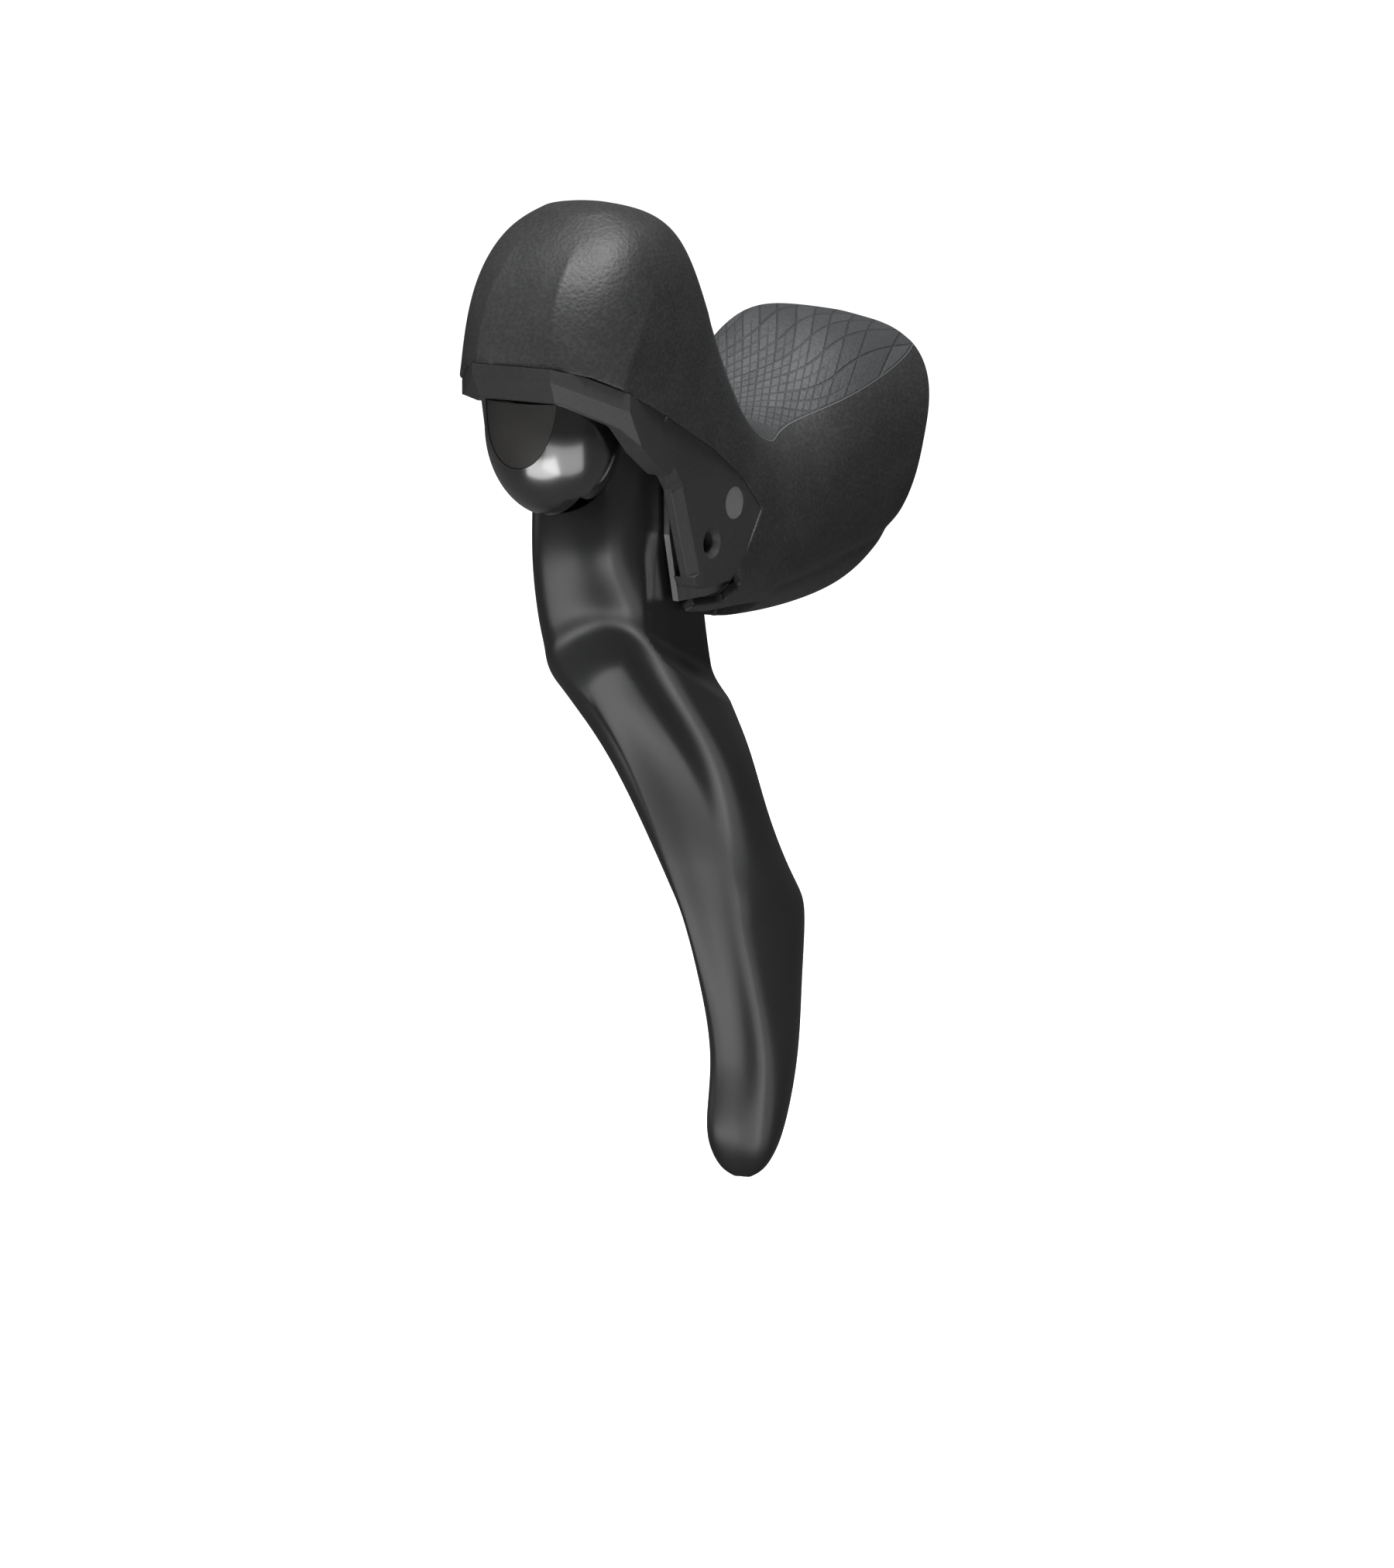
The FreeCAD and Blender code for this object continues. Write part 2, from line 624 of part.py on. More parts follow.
def lid_screw_places():
    return [(side * LID_SCREW_X, y) for side in (-1, 1) for y in LID_SCREW_YS]


def bracket_body():
    body = bracket_raw().cut(lid_line())
    body = body.cut(clamp_room()).cut(hydraulic_room())
    for x, y in lid_screw_places():
        body = body.cut(rod(LID_SCREW_RADIUS, Vector(x, y, LID_SCREW_DEPTH), Vector(x, y, FAR)))
    body = body.cut(rod(BLEED_RADIUS, Vector(0, BLEED_Y, BLEED_DEPTH), Vector(0, BLEED_Y, FAR)))
    bleed_z = BLEED_DEPTH + BLEED_RADIUS
    bleed = Vector(0, RESERVOIR_REAR - PASSAGE_RADIUS, bleed_z)
    body = body.cut(rod(PASSAGE_RADIUS, bleed, Vector(0, BLEED_Y, bleed_z)))
    body = body.cut(across(AXLE_RADIUS + AXLE_FIT, PIVOT, -FAR, FAR))
    hole = across(EAR_HOLE_RADIUS, EAR_HOLE, 0, FAR)
    flare = EAR_HOLE_MOUTH - EAR_HOLE_RADIUS
    mouth = Part.makeCone(EAR_HOLE_RADIUS, EAR_HOLE_MOUTH, flare, point(EAR_OUTER - flare, EAR_HOLE),
                          Vector(1, 0, 0))
    mouth = mouth.fuse(across(EAR_HOLE_MOUTH, EAR_HOLE, EAR_OUTER, FAR))
    body = body.cut(hole.fuse(mouth))
    return body.cut(set_screw_room())


def set_screw_room():
    top = point(SET_SCREW_X, PIVOT)
    return rod(SET_SCREW_RADIUS, top, top - Vector(0, 0, FAR / 2))


def set_screw_top():
    """Where the screw's end bites into the axle."""
    return point(SET_SCREW_X, PIVOT) - Vector(0, 0, AXLE_RADIUS - SET_SCREW_BITE)


def reservoir_lid():
    lid = hood_form(HOOD_WALL + HOOD_FIT).common(lid_line())
    low = LAND_Z + DIAPHRAGM_THICKNESS
    rim = RESERVOIR_HALF + DIAPHRAGM_FLANGE
    seat = box(-rim, rim, RESERVOIR_FRONT - DIAPHRAGM_FLANGE, RESERVOIR_REAR + DIAPHRAGM_FLANGE,
               0, low)
    lid = lid.cut(seat)
    for x, y in lid_screw_places():
        lid = lid.cut(rod(LID_SCREW_RADIUS + HEAD_ROOM, Vector(x, y, 0), Vector(x, y, FAR)))
        lid = lid.cut(rod(LID_HEAD_RADIUS + HEAD_ROOM, Vector(x, y, LID_SCREW_SEAT), Vector(x, y, FAR)))
    lid = lid.cut(rod(BLEED_RADIUS, Vector(0, BLEED_Y, 0), Vector(0, BLEED_Y, FAR)))
    seat = Vector(0, BLEED_Y, BLEED_SEAT)
    return lid.cut(rod(BLEED_SCREW_RADIUS + HEAD_ROOM, seat, Vector(0, BLEED_Y, FAR)))


def reservoir_diaphragm():
    rim = RESERVOIR_HALF + DIAPHRAGM_FLANGE
    plate = box(-rim, rim, RESERVOIR_FRONT - DIAPHRAGM_FLANGE, RESERVOIR_REAR + DIAPHRAGM_FLANGE,
                LAND_Z, LAND_Z + DIAPHRAGM_THICKNESS)
    wall = DIAPHRAGM_THICKNESS
    gap = DIAPHRAGM_GAP
    outer = box(-RESERVOIR_HALF + gap, RESERVOIR_HALF - gap, RESERVOIR_FRONT + gap, RESERVOIR_REAR - gap,
                LAND_Z - DIAPHRAGM_DROP, LAND_Z + wall)
    gap += wall
    inner = box(-RESERVOIR_HALF + gap, RESERVOIR_HALF - gap, RESERVOIR_FRONT + gap, RESERVOIR_REAR - gap,
                LAND_Z - DIAPHRAGM_DROP + wall, LAND_Z + 2 * wall)
    return plate.fuse(outer).cut(inner)


def lid_screws():
    screws = []
    for x, y in lid_screw_places():
        seat = Vector(x, y, LID_SCREW_SEAT)
        shank = rod(LID_SCREW_RADIUS, Vector(x, y, LID_SCREW_DEPTH + LID_SCREW_SPARE), seat)
        top = seat + Vector(0, 0, LID_HEAD_LENGTH)
        head = rod(LID_HEAD_RADIUS, seat, top)
        socket = rod(LID_HEAD_RADIUS * SOCKET_SHARE, seat + Vector(0, 0, LID_HEAD_LENGTH / 2), top)
        screws.append(shank.fuse(head).cut(socket))
    return Part.makeCompound(screws)


def bleed_screw():
    seat = Vector(0, BLEED_Y, BLEED_SEAT + 2 * O_RING_WIRE)
    head = rod(BLEED_SCREW_RADIUS, seat, Vector(0, BLEED_Y, BLEED_TOP))
    shank = rod(BLEED_RADIUS - SEAT_GAP, seat - Vector(0, 0, BLEED_SHANK), seat)
    top = Vector(0, BLEED_Y, BLEED_TOP)
    socket = rod(BLEED_SCREW_RADIUS * SOCKET_SHARE, top - Vector(0, 0, BLEED_SOCKET), top)
    return head.fuse(shank).cut(socket)


def bleed_o_ring():
    radius = BLEED_SCREW_RADIUS - O_RING_WIRE + SEAT_GAP
    ring = Part.makeTorus(radius, O_RING_WIRE, Vector(0, BLEED_Y, BLEED_SEAT + O_RING_WIRE))
    bore = BLEED_RADIUS - SEAT_GAP + PRESS_FIT
    return ring.cut(rod(bore, Vector(0, BLEED_Y, 0), Vector(0, BLEED_Y, FAR)))


def thrust_height():
    """Height of the cylinder's axis, level with the thrust roller."""
    return PIVOT[1] - THRUST_ARM * cos(radians(THRUST_LEAN))


def thrust_place():
    return (PIVOT[0] - THRUST_ARM * sin(radians(THRUST_LEAN)), thrust_height())


def along_cylinder(y):
    return Vector(0, y, thrust_height())


def cylinder_sleeve():
    outer = CYLINDER_BORE + CYLINDER_WALL
    sleeve = rod(outer, along_cylinder(CYLINDER_FRONT), along_cylinder(CYLINDER_REAR))
    bore = rod(CYLINDER_BORE, along_cylinder(CYLINDER_FRONT), along_cylinder(CYLINDER_REAR - CYLINDER_END))
    start = CYLINDER_FRONT + SNAP_RING_INSET
    groove = rod(CYLINDER_BORE + SNAP_RING_DEPTH, along_cylinder(start),
                 along_cylinder(start + SNAP_RING_THICKNESS))
    feed_y = PASSAGE_KNEE[0] + REFILL_SETBACK
    refill = rod(PASSAGE_RADIUS, Vector(0, feed_y, 0), along_cylinder(feed_y))
    outlet = rod(HOSE_PASSAGE, port_point(-HOSE_PASSAGE_END), port_point(-PORT_LENGTH))
    return sleeve.cut(bore).cut(groove).cut(refill).cut(outlet)


def piston_front():
    return CYLINDER_FRONT + SNAP_RING_INSET + SNAP_RING_THICKNESS + PISTON_REST


def snap_ring():
    start = CYLINDER_FRONT + SNAP_RING_INSET
    end = start + SNAP_RING_THICKNESS
    ring = tube(CYLINDER_BORE + SNAP_RING_DEPTH - SEAT_GAP, SNAP_RING_BORE, along_cylinder(start),
                along_cylinder(end))
    return ring.cut(box(-SNAP_RING_GAP, SNAP_RING_GAP, start, end, thrust_height(), FAR))


def piston():
    front = piston_front()
    rear = front + PISTON_LENGTH
    body = rod(CYLINDER_BORE - PISTON_FIT, along_cylinder(front), along_cylinder(rear))
    for start in cup_places():
        neck = tube(2 * CYLINDER_BORE, PISTON_NECK, along_cylinder(start), along_cylinder(start + CUP_LENGTH))
        body = body.cut(neck)
    ball = along_cylinder(front + ROD_BALL_DEPTH)
    seat = Part.makeSphere(ROD_RADIUS + PISTON_FIT, ball)
    return body.cut(seat.fuse(rod(ROD_RADIUS + ROD_ROOM, along_cylinder(front - ROD_ROOM), ball)))


def cup_places():
    front = piston_front()
    return (front + CUP_FROM_FRONT, front + PISTON_LENGTH - CUP_LENGTH - CUP_FROM_REAR)


def cup(start):
    """A lip seal: a ring whose rear edge flares to the bore."""
    end = start + CUP_LENGTH - SEAT_GAP
    ring = tube(CYLINDER_BORE - PRESS_FIT, PISTON_NECK + PRESS_FIT, along_cylinder(start + SEAT_GAP),
                along_cylinder(end))
    wall = (CYLINDER_BORE - PISTON_NECK) / 4
    groove = Part.makeCone(PISTON_NECK + wall, CYLINDER_BORE - wall, CUP_LIP, along_cylinder(end - CUP_LIP),
                           Vector(0, 1, 0))
    return ring.cut(groove)


def push_rod():
    front = rod_front()
    ball = along_cylinder(piston_front() + ROD_BALL_DEPTH)
    pad = rod(ROD_PAD_RADIUS, along_cylinder(front), along_cylinder(front + ROD_PAD_LENGTH))
    return pad.fuse(rod(ROD_RADIUS, along_cylinder(front), ball)).fuse(Part.makeSphere(ROD_RADIUS, ball))


def rod_front():
    return thrust_place()[0] + ROLLER_RADIUS + CONTACT_GAP


def coil(radius, wire, pitch, turns, start, axis):
    """A round-wire coil spring about an axis."""
    helix = Part.makeHelix(pitch, pitch * turns, radius)
    profile = Part.Wire(Part.makeCircle(wire, Vector(radius, 0, 0), Vector(0, 1, 0)))
    spring = Part.Wire(helix.Edges).makePipeShell([profile], True, True)
    spring.Placement = FreeCAD.Placement(start, FreeCAD.Rotation(Vector(0, 0, 1), axis))
    return spring


def piston_spring():
    start = piston_front() + PISTON_LENGTH + SPRING_WIRE + SEAT_GAP
    end = CYLINDER_REAR - CYLINDER_END - SPRING_WIRE - SEAT_GAP
    pitch = (end - start) / SPRING_TURNS
    return coil(SPRING_RADIUS, SPRING_WIRE, pitch, SPRING_TURNS, along_cylinder(start), Vector(0, 1, 0))


def return_spring():
    start = point(HUB_RIGHT + RETURN_WIRE + RETURN_GAP, PIVOT)
    return coil(RETURN_RADIUS, RETURN_WIRE, RETURN_PITCH, RETURN_TURNS, start, Vector(1, 0, 0))


def pivot_axle():
    axle = across(AXLE_RADIUS, PIVOT, AXLE_RECESS[0] - EAR_OUTER, EAR_OUTER - AXLE_RECESS[1])
    top = set_screw_top()
    return axle.cut(rod(SET_SCREW_RADIUS, top - Vector(0, 0, AXLE_RADIUS), top))


def axle_set_screw():
    top = set_screw_top()
    low = top - Vector(0, 0, SET_SCREW_LENGTH)
    screw = rod(SET_SCREW_RADIUS - PRESS_FIT, low, top)
    return screw.cut(rod(SET_SCREW_RADIUS * SOCKET_SHARE, low, low + Vector(0, 0, SET_SCREW_SOCKET)))


def ear_plates():
    """Steel plates that line the ears and carry the axle; their feet show below the ears."""
    plates = []
    for side in (-1, 1):
        ends = sorted((side * (CAVITY_HALF - PLATE_THICKNESS), side * (CAVITY_HALF - PRESS_FIT)))
        front, rear = EAR_PLATE_FRONTS[side], EAR_PLATE_REAR
        outline = front + rear + ((rear[1][0], EAR_PLATE_TOP), (front[0][0], EAR_PLATE_TOP))
        plate = side_prism(outline, *ends)
        plate = plate.cut(across(AXLE_RADIUS + AXLE_FIT, PIVOT, ends[0] - 1, ends[1] + 1))
        if side > 0:
            plate = plate.cut(across(EAR_HOLE_RADIUS, EAR_HOLE, ends[0] - 1, ends[1] + 1))
        plates.append(plate)
    return Part.makeCompound(plates)


def blade_section(row):
    """One level of the blade: a rounded four-sided curve, hollowed in front by the dish."""
    z, *corners, dish = row
    points = []
    for i, (x, y) in enumerate(corners):
        before = corners[i - 1]
        after = corners[(i + 1) % len(corners)]
        for other in (before, after):
            points.append(Vector(x + BLADE_CORNER * (other[0] - x), y + BLADE_CORNER * (other[1] - y), z))
        if i == 0:
            points.append(Vector((x + after[0]) / 2, (y + after[1]) / 2 + dish, z))
    return closed_curve(points)


def dome(radius, top):
    """The cover's form: a bowl with an elliptical profile below a short round wall."""
    centre = point(DOME_X, DOME_CENTRE)
    low = centre - Vector(0, 0, radius + DOME_DEPTH)
    side = centre + Vector(radius, 0, 0)
    profile = Part.Ellipse(low, side, centre).toShape(0, pi / 2)
    outline = Part.Wire([profile, Part.makeLine(side, centre), Part.makeLine(centre, low)])
    bowl = Part.Face(outline).revolve(centre, Vector(0, 0, 1), 360)
    return bowl.fuse(rod(radius, centre, Vector(DOME_X, DOME_CENTRE[0], top)))


def reach_nut_place():
    return (REACH_Y, PIVOT[1])


def lever_blade():
    blade = Part.makeLoft([blade_section(row) for row in BLADE_LEVELS], True, False)
    front, rear = BLADE_TOP[0], BLADE_TOP[-1]
    over = list(BLADE_TOP) + [(rear[0], FAR), (front[0] - FAR, FAR), (front[0] - FAR, front[1])]
    blade = blade.cut(side_prism(over, -FAR, FAR))
    boss = across(BOSS_RADIUS, PIVOT, -CHEEK_OUTER, CHEEK_OUTER)
    web = side_prism([(PIVOT[0] + y, PIVOT[1] + z) for y, z in WEB_OUTLINE], -CHEEK_OUTER, CHEEK_OUTER)
    blade = blade.fuse(boss).fuse(web)
    for side in (-1, 1):
        ends = sorted((side * CHEEK_OUTER, side * FAR))
        blade = blade.cut(box(ends[0], ends[1], WAIST_FRONT, 0, WAIST_LOW, FAR))
        ends = sorted((side * (CAVITY_HALF - SIDE_GAP), side * FAR))
        blade = blade.cut(box(ends[0], ends[1], -2 * FAR, 0, WAIST_LOW, FAR))
        ends = sorted((side * (HOOD_SLOT_HALF - SIDE_GAP), side * FAR))
        blade = blade.cut(box(ends[0], ends[1], WAIST_FRONT, 0, HOOD_SWEEP_LOW, WAIST_LOW))
    blade = blade.cut(box(-CHEEK_INNER, CHEEK_INNER, CHANNEL_FRONT, 0, ROOM_FLOOR, FAR))
    blade = blade.cut(box(-CHEEK_INNER, CHEEK_INNER, CHEEK_ROOM_FRONT, 0, FLOOR_TOP, FAR))
    blade = blade.cut(box(-CHANNEL_HALF, CHANNEL_HALF, CHANNEL_FRONT, 0, CHANNEL_BOTTOM, FAR))
    before_dome = box(-FAR, FAR, -FAR * 2, DOME_REAR + DOME_FIT, -FAR, FAR)
    blade = blade.cut(dome(DOME_RADIUS + DOME_FIT, FAR).common(before_dome))
    blade = blade.fuse(side_prism(NOSE_PROFILE, -NOSE_HALF, NOSE_HALF))
    blade = blade.cut(across(AXLE_RADIUS + BUSH_WALL, PIVOT, -FAR, FAR))
    nut = reach_nut_place()
    nut_end = REACH_NUT_LENGTH / 2 + HEAD_ROOM
    blade = blade.cut(across(REACH_NUT_RADIUS + HEAD_ROOM / 2, nut, -nut_end, nut_end))
    hole = rod(REACH_RADIUS + REACH_SLOT, Vector(0, REACH_Y, REACH_HOLE_LOW), Vector(0, REACH_Y, FAR))
    blade = blade.cut(hole)
    screw = Vector(0, 0, COVER_SCREW_Z)
    thread = rod(COVER_SCREW_RADIUS, screw - Vector(0, 2 * FAR, 0), screw + Vector(0, CHEEK_ROOM_FRONT, 0))
    return blade.cut(thread).cut(across(STROKE_SCREW_RADIUS + SEAT_GAP, EAR_HOLE, 0, FAR))


def blade_bushes():
    bushes = []
    for side in (-1, 1):
        bushes.append(tube(AXLE_RADIUS + BUSH_WALL - PRESS_FIT, AXLE_RADIUS + TURN_FIT,
                           point(side * (CHEEK_INNER + SEAT_GAP), PIVOT), point(side * CHEEK_OUTER, PIVOT)))
    return Part.makeCompound(bushes)


def plate_window():
    """The half-oval outline of the plate, as a bar along Y."""
    oval = Part.Ellipse(Vector(PLATE_X, -FAR * 2, PLATE_TOP), PLATE_HEIGHT, PLATE_HALF_WIDTH)
    edge = Part.Edge(oval)
    edge.rotate(Vector(PLATE_X, -FAR * 2, PLATE_TOP), Vector(0, 0, 1), 90)
    edge.rotate(Vector(PLATE_X, -FAR * 2, PLATE_TOP), Vector(1, 0, 0), 90)
    face = Part.Face(Part.Wire(edge))
    return face.extrude(Vector(0, FAR * 2 + DOME_CENTRE[0], 0))


def knuckle_cover():
    cover = dome(DOME_RADIUS, DOME_TOP).cut(dome(DOME_RADIUS - DOME_WALL, FAR))
    cover = cover.cut(box(-FAR, FAR, DOME_REAR, 0, -FAR, FAR))
    notch = NOSE_HALF + HEAD_ROOM
    cover = cover.cut(box(-notch, notch, NOSE_PROFILE[0][0] + HEAD_ROOM, 0, -FAR, COVER_SCREW_Z))
    pocket = plate_window().cut(dome(DOME_RADIUS - PLATE_DEPTH, FAR))
    cover = cover.cut(pocket)
    seat = Vector(0, COVER_SEAT, COVER_SCREW_Z)
    boss = rod(COVER_HEAD_RADIUS + COVER_BOSS_WALL, seat - Vector(0, 2 * COVER_HEAD_LENGTH, 0),
               Vector(0, NOSE_PROFILE[0][0] - SEAT_GAP, COVER_SCREW_Z))
    cover = cover.fuse(boss.common(dome(DOME_RADIUS - PLATE_DEPTH, DOME_TOP)))
    cover = cover.cut(rod(COVER_HEAD_RADIUS + HEAD_ROOM, seat - Vector(0, DOME_RADIUS, 0), seat))
    return cover.cut(rod(COVER_SCREW_RADIUS + HEAD_ROOM, seat, seat + Vector(0, DOME_RADIUS, 0)))


def name_plate():
    plate = dome(DOME_RADIUS - PLATE_SINK, DOME_TOP).cut(dome(DOME_RADIUS - PLATE_DEPTH + PRESS_FIT, FAR))
    return plate.common(plate_window())


def cover_screw():
    seat = Vector(0, COVER_SEAT, COVER_SCREW_Z)
    front = seat - Vector(0, COVER_HEAD_LENGTH, 0)
    tip = Vector(0, CHEEK_ROOM_FRONT - SIDE_GAP, COVER_SCREW_Z)
    screw = rod(COVER_HEAD_RADIUS, front, seat).fuse(rod(COVER_SCREW_RADIUS - PRESS_FIT, seat, tip))
    floor = front + Vector(0, COVER_HEAD_LENGTH / 2, 0)
    return screw.cut(rod(COVER_HEAD_RADIUS * SOCKET_SHARE, front, floor))


def lever_link():
    place = thrust_place()
    left = -CHEEK_INNER + SIDE_GAP
    right = CHEEK_INNER - SIDE_GAP
    arm_outline = [(PIVOT[0] + ARM_ROOT[0], PIVOT[1])]
    arm_outline += [(place[0] + y, place[1] + z) for y, z in ARM_END]
    arm_outline += [(PIVOT[0] + ARM_ROOT[1], PIVOT[1])]
    arm = side_prism(arm_outline, -FORK_OUTER, FORK_OUTER)
    arm = arm.cut(across(ROLLER_RADIUS + ROLLER_ROOM, place, -FORK_INNER, FORK_INNER))
    arm = arm.cut(box(-FORK_INNER, FORK_INNER, -2 * FAR, 0, -FAR, place[1]))
    tab = box(-TAB_HALF, TAB_HALF, TAB_FRONT, PIVOT[0], TAB_LOW, TAB_HIGH)
    slope = [(PIVOT[0] + y, PIVOT[1] + z) for y, z in TAB_SLOPE]
    slope = [(slope[0][0], FAR)] + slope + [(slope[-1][0], FAR)]
    link = arm.fuse(tab.cut(side_prism(slope, -FAR, FAR)))
    link = link.cut(across(RETURN_RADIUS + 2 * RETURN_WIRE, PIVOT, HUB_RIGHT, CHEEK_INNER))
    link = link.fuse(across(HUB_RADIUS, PIVOT, left, HUB_RIGHT))
    link = link.fuse(across(SLEEVE_RADIUS, PIVOT, HUB_RIGHT, right))
    link = link.cut(across(AXLE_RADIUS + BUSH_WALL, PIVOT, -FAR, FAR))
    link = link.cut(across(ROLLER_PIN_RADIUS, place, -FAR, FAR))
    return link.cut(rod(REACH_RADIUS + HEAD_ROOM, Vector(0, REACH_Y, -FAR), Vector(0, REACH_Y, FAR)))


def link_bush():
    edge = CHEEK_INNER - SIDE_GAP - SEAT_GAP
    outer, inner = AXLE_RADIUS + BUSH_WALL - PRESS_FIT, AXLE_RADIUS + TURN_FIT
    return tube(outer, inner, point(-edge, PIVOT), point(edge, PIVOT))


def thrust_roller():
    edge = FORK_INNER - SEAT_GAP
    place = thrust_place()
    return tube(ROLLER_RADIUS, ROLLER_PIN_RADIUS + TURN_FIT, point(-edge, place), point(edge, place))


def roller_pin():
    return across(ROLLER_PIN_RADIUS - PRESS_FIT, thrust_place(), -FORK_OUTER, FORK_OUTER)


def reach_screw():
    seat = Vector(0, REACH_Y, TAB_HIGH + SEAT_GAP)
    top = seat + Vector(0, 0, REACH_HEAD_LENGTH)
    head = rod(REACH_HEAD_RADIUS, seat, top)
    shank = rod(REACH_RADIUS, Vector(0, REACH_Y, REACH_TIP), seat)
    socket = rod(REACH_RADIUS * SOCKET_SHARE, top - Vector(0, 0, REACH_SOCKET), top)
    return head.fuse(shank).cut(socket)


def reach_nut():
    half = REACH_NUT_LENGTH / 2
    nut = across(REACH_NUT_RADIUS, reach_nut_place(), -half, half)
    return nut.cut(rod(REACH_RADIUS + REACH_PLAY, Vector(0, REACH_Y, -FAR), Vector(0, REACH_Y, FAR)))


def free_stroke_screw():
    screw = across(STROKE_SCREW_RADIUS, EAR_HOLE, CHEEK_INNER + SEAT_GAP, CHEEK_OUTER)
    depth, half = STROKE_SLOT
    low = EAR_HOLE[1] - half
    slot = box(CHEEK_OUTER - depth, CHEEK_OUTER, EAR_HOLE[0] - FAR, EAR_HOLE[0] + FAR, low, low + 2 * half)
    return screw.cut(slot)


def clamp_band():
    half = BAND_WIDTH / 2
    outer = BAR_RADIUS + BAND_THICKNESS
    ring = tube(outer, BAR_RADIUS, Vector(0, 0, -half), Vector(0, 0, half))
    band = ring.common(box(-FAR, FAR, 0, FAR, -FAR, FAR))
    band = band.fuse(box(BAR_RADIUS, outer, -BAND_LEG, 0, -half, half))
    band = band.fuse(box(-outer, -BAR_RADIUS, -BAND_LEG, 0, -half, half))
    hook = -outer - HOOK_REACH + BAND_CLEARANCE
    band = band.fuse(box(hook, -BAR_RADIUS, -BAND_LEG, -BAND_LEG + BAND_THICKNESS, -half, half))
    return with_bar(band)


def clamp_nut():
    left = CLAMP_SCREW_X - NUT_WIDTH / 2
    low = -NUT_HEIGHT / 2 - CLAMP_SCREW_DROP
    nut = box(left, left + NUT_WIDTH, -BAND_LEG - NUT_DEPTH, -BAND_LEG, low, low + NUT_HEIGHT)
    screw = Vector(CLAMP_SCREW_X, 0, -CLAMP_SCREW_DROP)
    nut = nut.cut(rod(CLAMP_SCREW_RADIUS, screw - Vector(0, FAR, 0), screw))
    return with_bar(nut)


def clamp_bolt():
    seat = Vector(CLAMP_SCREW_X, -CLAMP_LUG_FRONT - PRESS_FIT, -CLAMP_SCREW_DROP)
    front = seat - Vector(0, CLAMP_HEAD_LENGTH, 0)
    tip = Vector(CLAMP_SCREW_X, -BAND_LEG - HEAD_ROOM, -CLAMP_SCREW_DROP)
    shank = rod(CLAMP_SCREW_RADIUS - PRESS_FIT, seat, tip)
    bolt = rod(CLAMP_HEAD_RADIUS, front, seat).fuse(shank)
    return with_bar(bolt.cut(rod(CLAMP_SOCKET_RADIUS, front, front + Vector(0, CLAMP_SOCKET_DEPTH, 0))))


NODES = {
    "hood_cover": hood_cover,
    "bracket_body": bracket_body,
    "reservoir_lid": reservoir_lid,
    "reservoir_diaphragm": reservoir_diaphragm,
    "lid_screws": lid_screws,
    "bleed_screw": bleed_screw,
    "bleed_o_ring": bleed_o_ring,
    "cylinder_sleeve": cylinder_sleeve,
    "snap_ring": snap_ring,
    "piston": piston,
    "primary_cup": lambda: cup(cup_places()[1]),
    "secondary_cup": lambda: cup(cup_places()[0]),
    "push_rod": push_rod,
    "piston_spring": piston_spring,
    "pivot_axle": pivot_axle,
    "axle_set_screw": axle_set_screw,
    "ear_plates": ear_plates,
    "return_spring": return_spring,
    "lever_link": lever_link,
    "link_bush": link_bush,
    "thrust_roller": thrust_roller,
    "roller_pin": roller_pin,
    "reach_screw": reach_screw,
    "reach_nut": reach_nut,
    "lever_blade": lever_blade,
    "blade_bushes": blade_bushes,
    "knuckle_cover": knuckle_cover,
    "name_plate": name_plate,
    "cover_screw": cover_screw,
    "free_stroke_screw": free_stroke_screw,
    "clamp_band": clamp_band,
    "clamp_nut": clamp_nut,
    "clamp_bolt": clamp_bolt,
}

os.makedirs("parts", exist_ok=True)
for name, make in NODES.items():
    shape = make()
    shape.exportStep(os.path.join("parts", name + ".step"))
    print(name, len(shape.Solids), shape.isValid(), round(shape.Volume, 1))
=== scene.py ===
from math import cos, pi, radians, sin

import bmesh
import bpy
import numpy as np
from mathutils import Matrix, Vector


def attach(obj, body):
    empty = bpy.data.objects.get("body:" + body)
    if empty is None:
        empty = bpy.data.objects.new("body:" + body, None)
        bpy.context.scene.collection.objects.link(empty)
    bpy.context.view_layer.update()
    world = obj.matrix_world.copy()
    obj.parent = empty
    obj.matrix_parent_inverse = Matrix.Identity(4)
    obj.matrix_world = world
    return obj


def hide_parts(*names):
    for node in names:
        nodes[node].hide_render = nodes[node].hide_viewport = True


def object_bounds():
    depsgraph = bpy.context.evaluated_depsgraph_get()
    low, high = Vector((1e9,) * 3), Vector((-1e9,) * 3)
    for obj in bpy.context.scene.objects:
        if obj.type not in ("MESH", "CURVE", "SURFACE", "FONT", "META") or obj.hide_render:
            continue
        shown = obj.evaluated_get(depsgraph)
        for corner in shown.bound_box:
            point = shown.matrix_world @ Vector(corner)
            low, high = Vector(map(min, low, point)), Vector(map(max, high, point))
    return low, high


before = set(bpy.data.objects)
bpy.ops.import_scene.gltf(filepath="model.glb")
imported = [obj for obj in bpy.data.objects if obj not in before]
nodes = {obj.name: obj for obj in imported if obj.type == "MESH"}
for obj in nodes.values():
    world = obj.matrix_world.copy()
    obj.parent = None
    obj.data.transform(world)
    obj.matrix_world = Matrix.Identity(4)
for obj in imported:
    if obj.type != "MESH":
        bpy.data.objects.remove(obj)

# The looks of a left-hand hydraulic brake lever. Lengths are in metres; MM turns millimetres into them.
MM = 0.001
cad_box = [list(corner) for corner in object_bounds()]


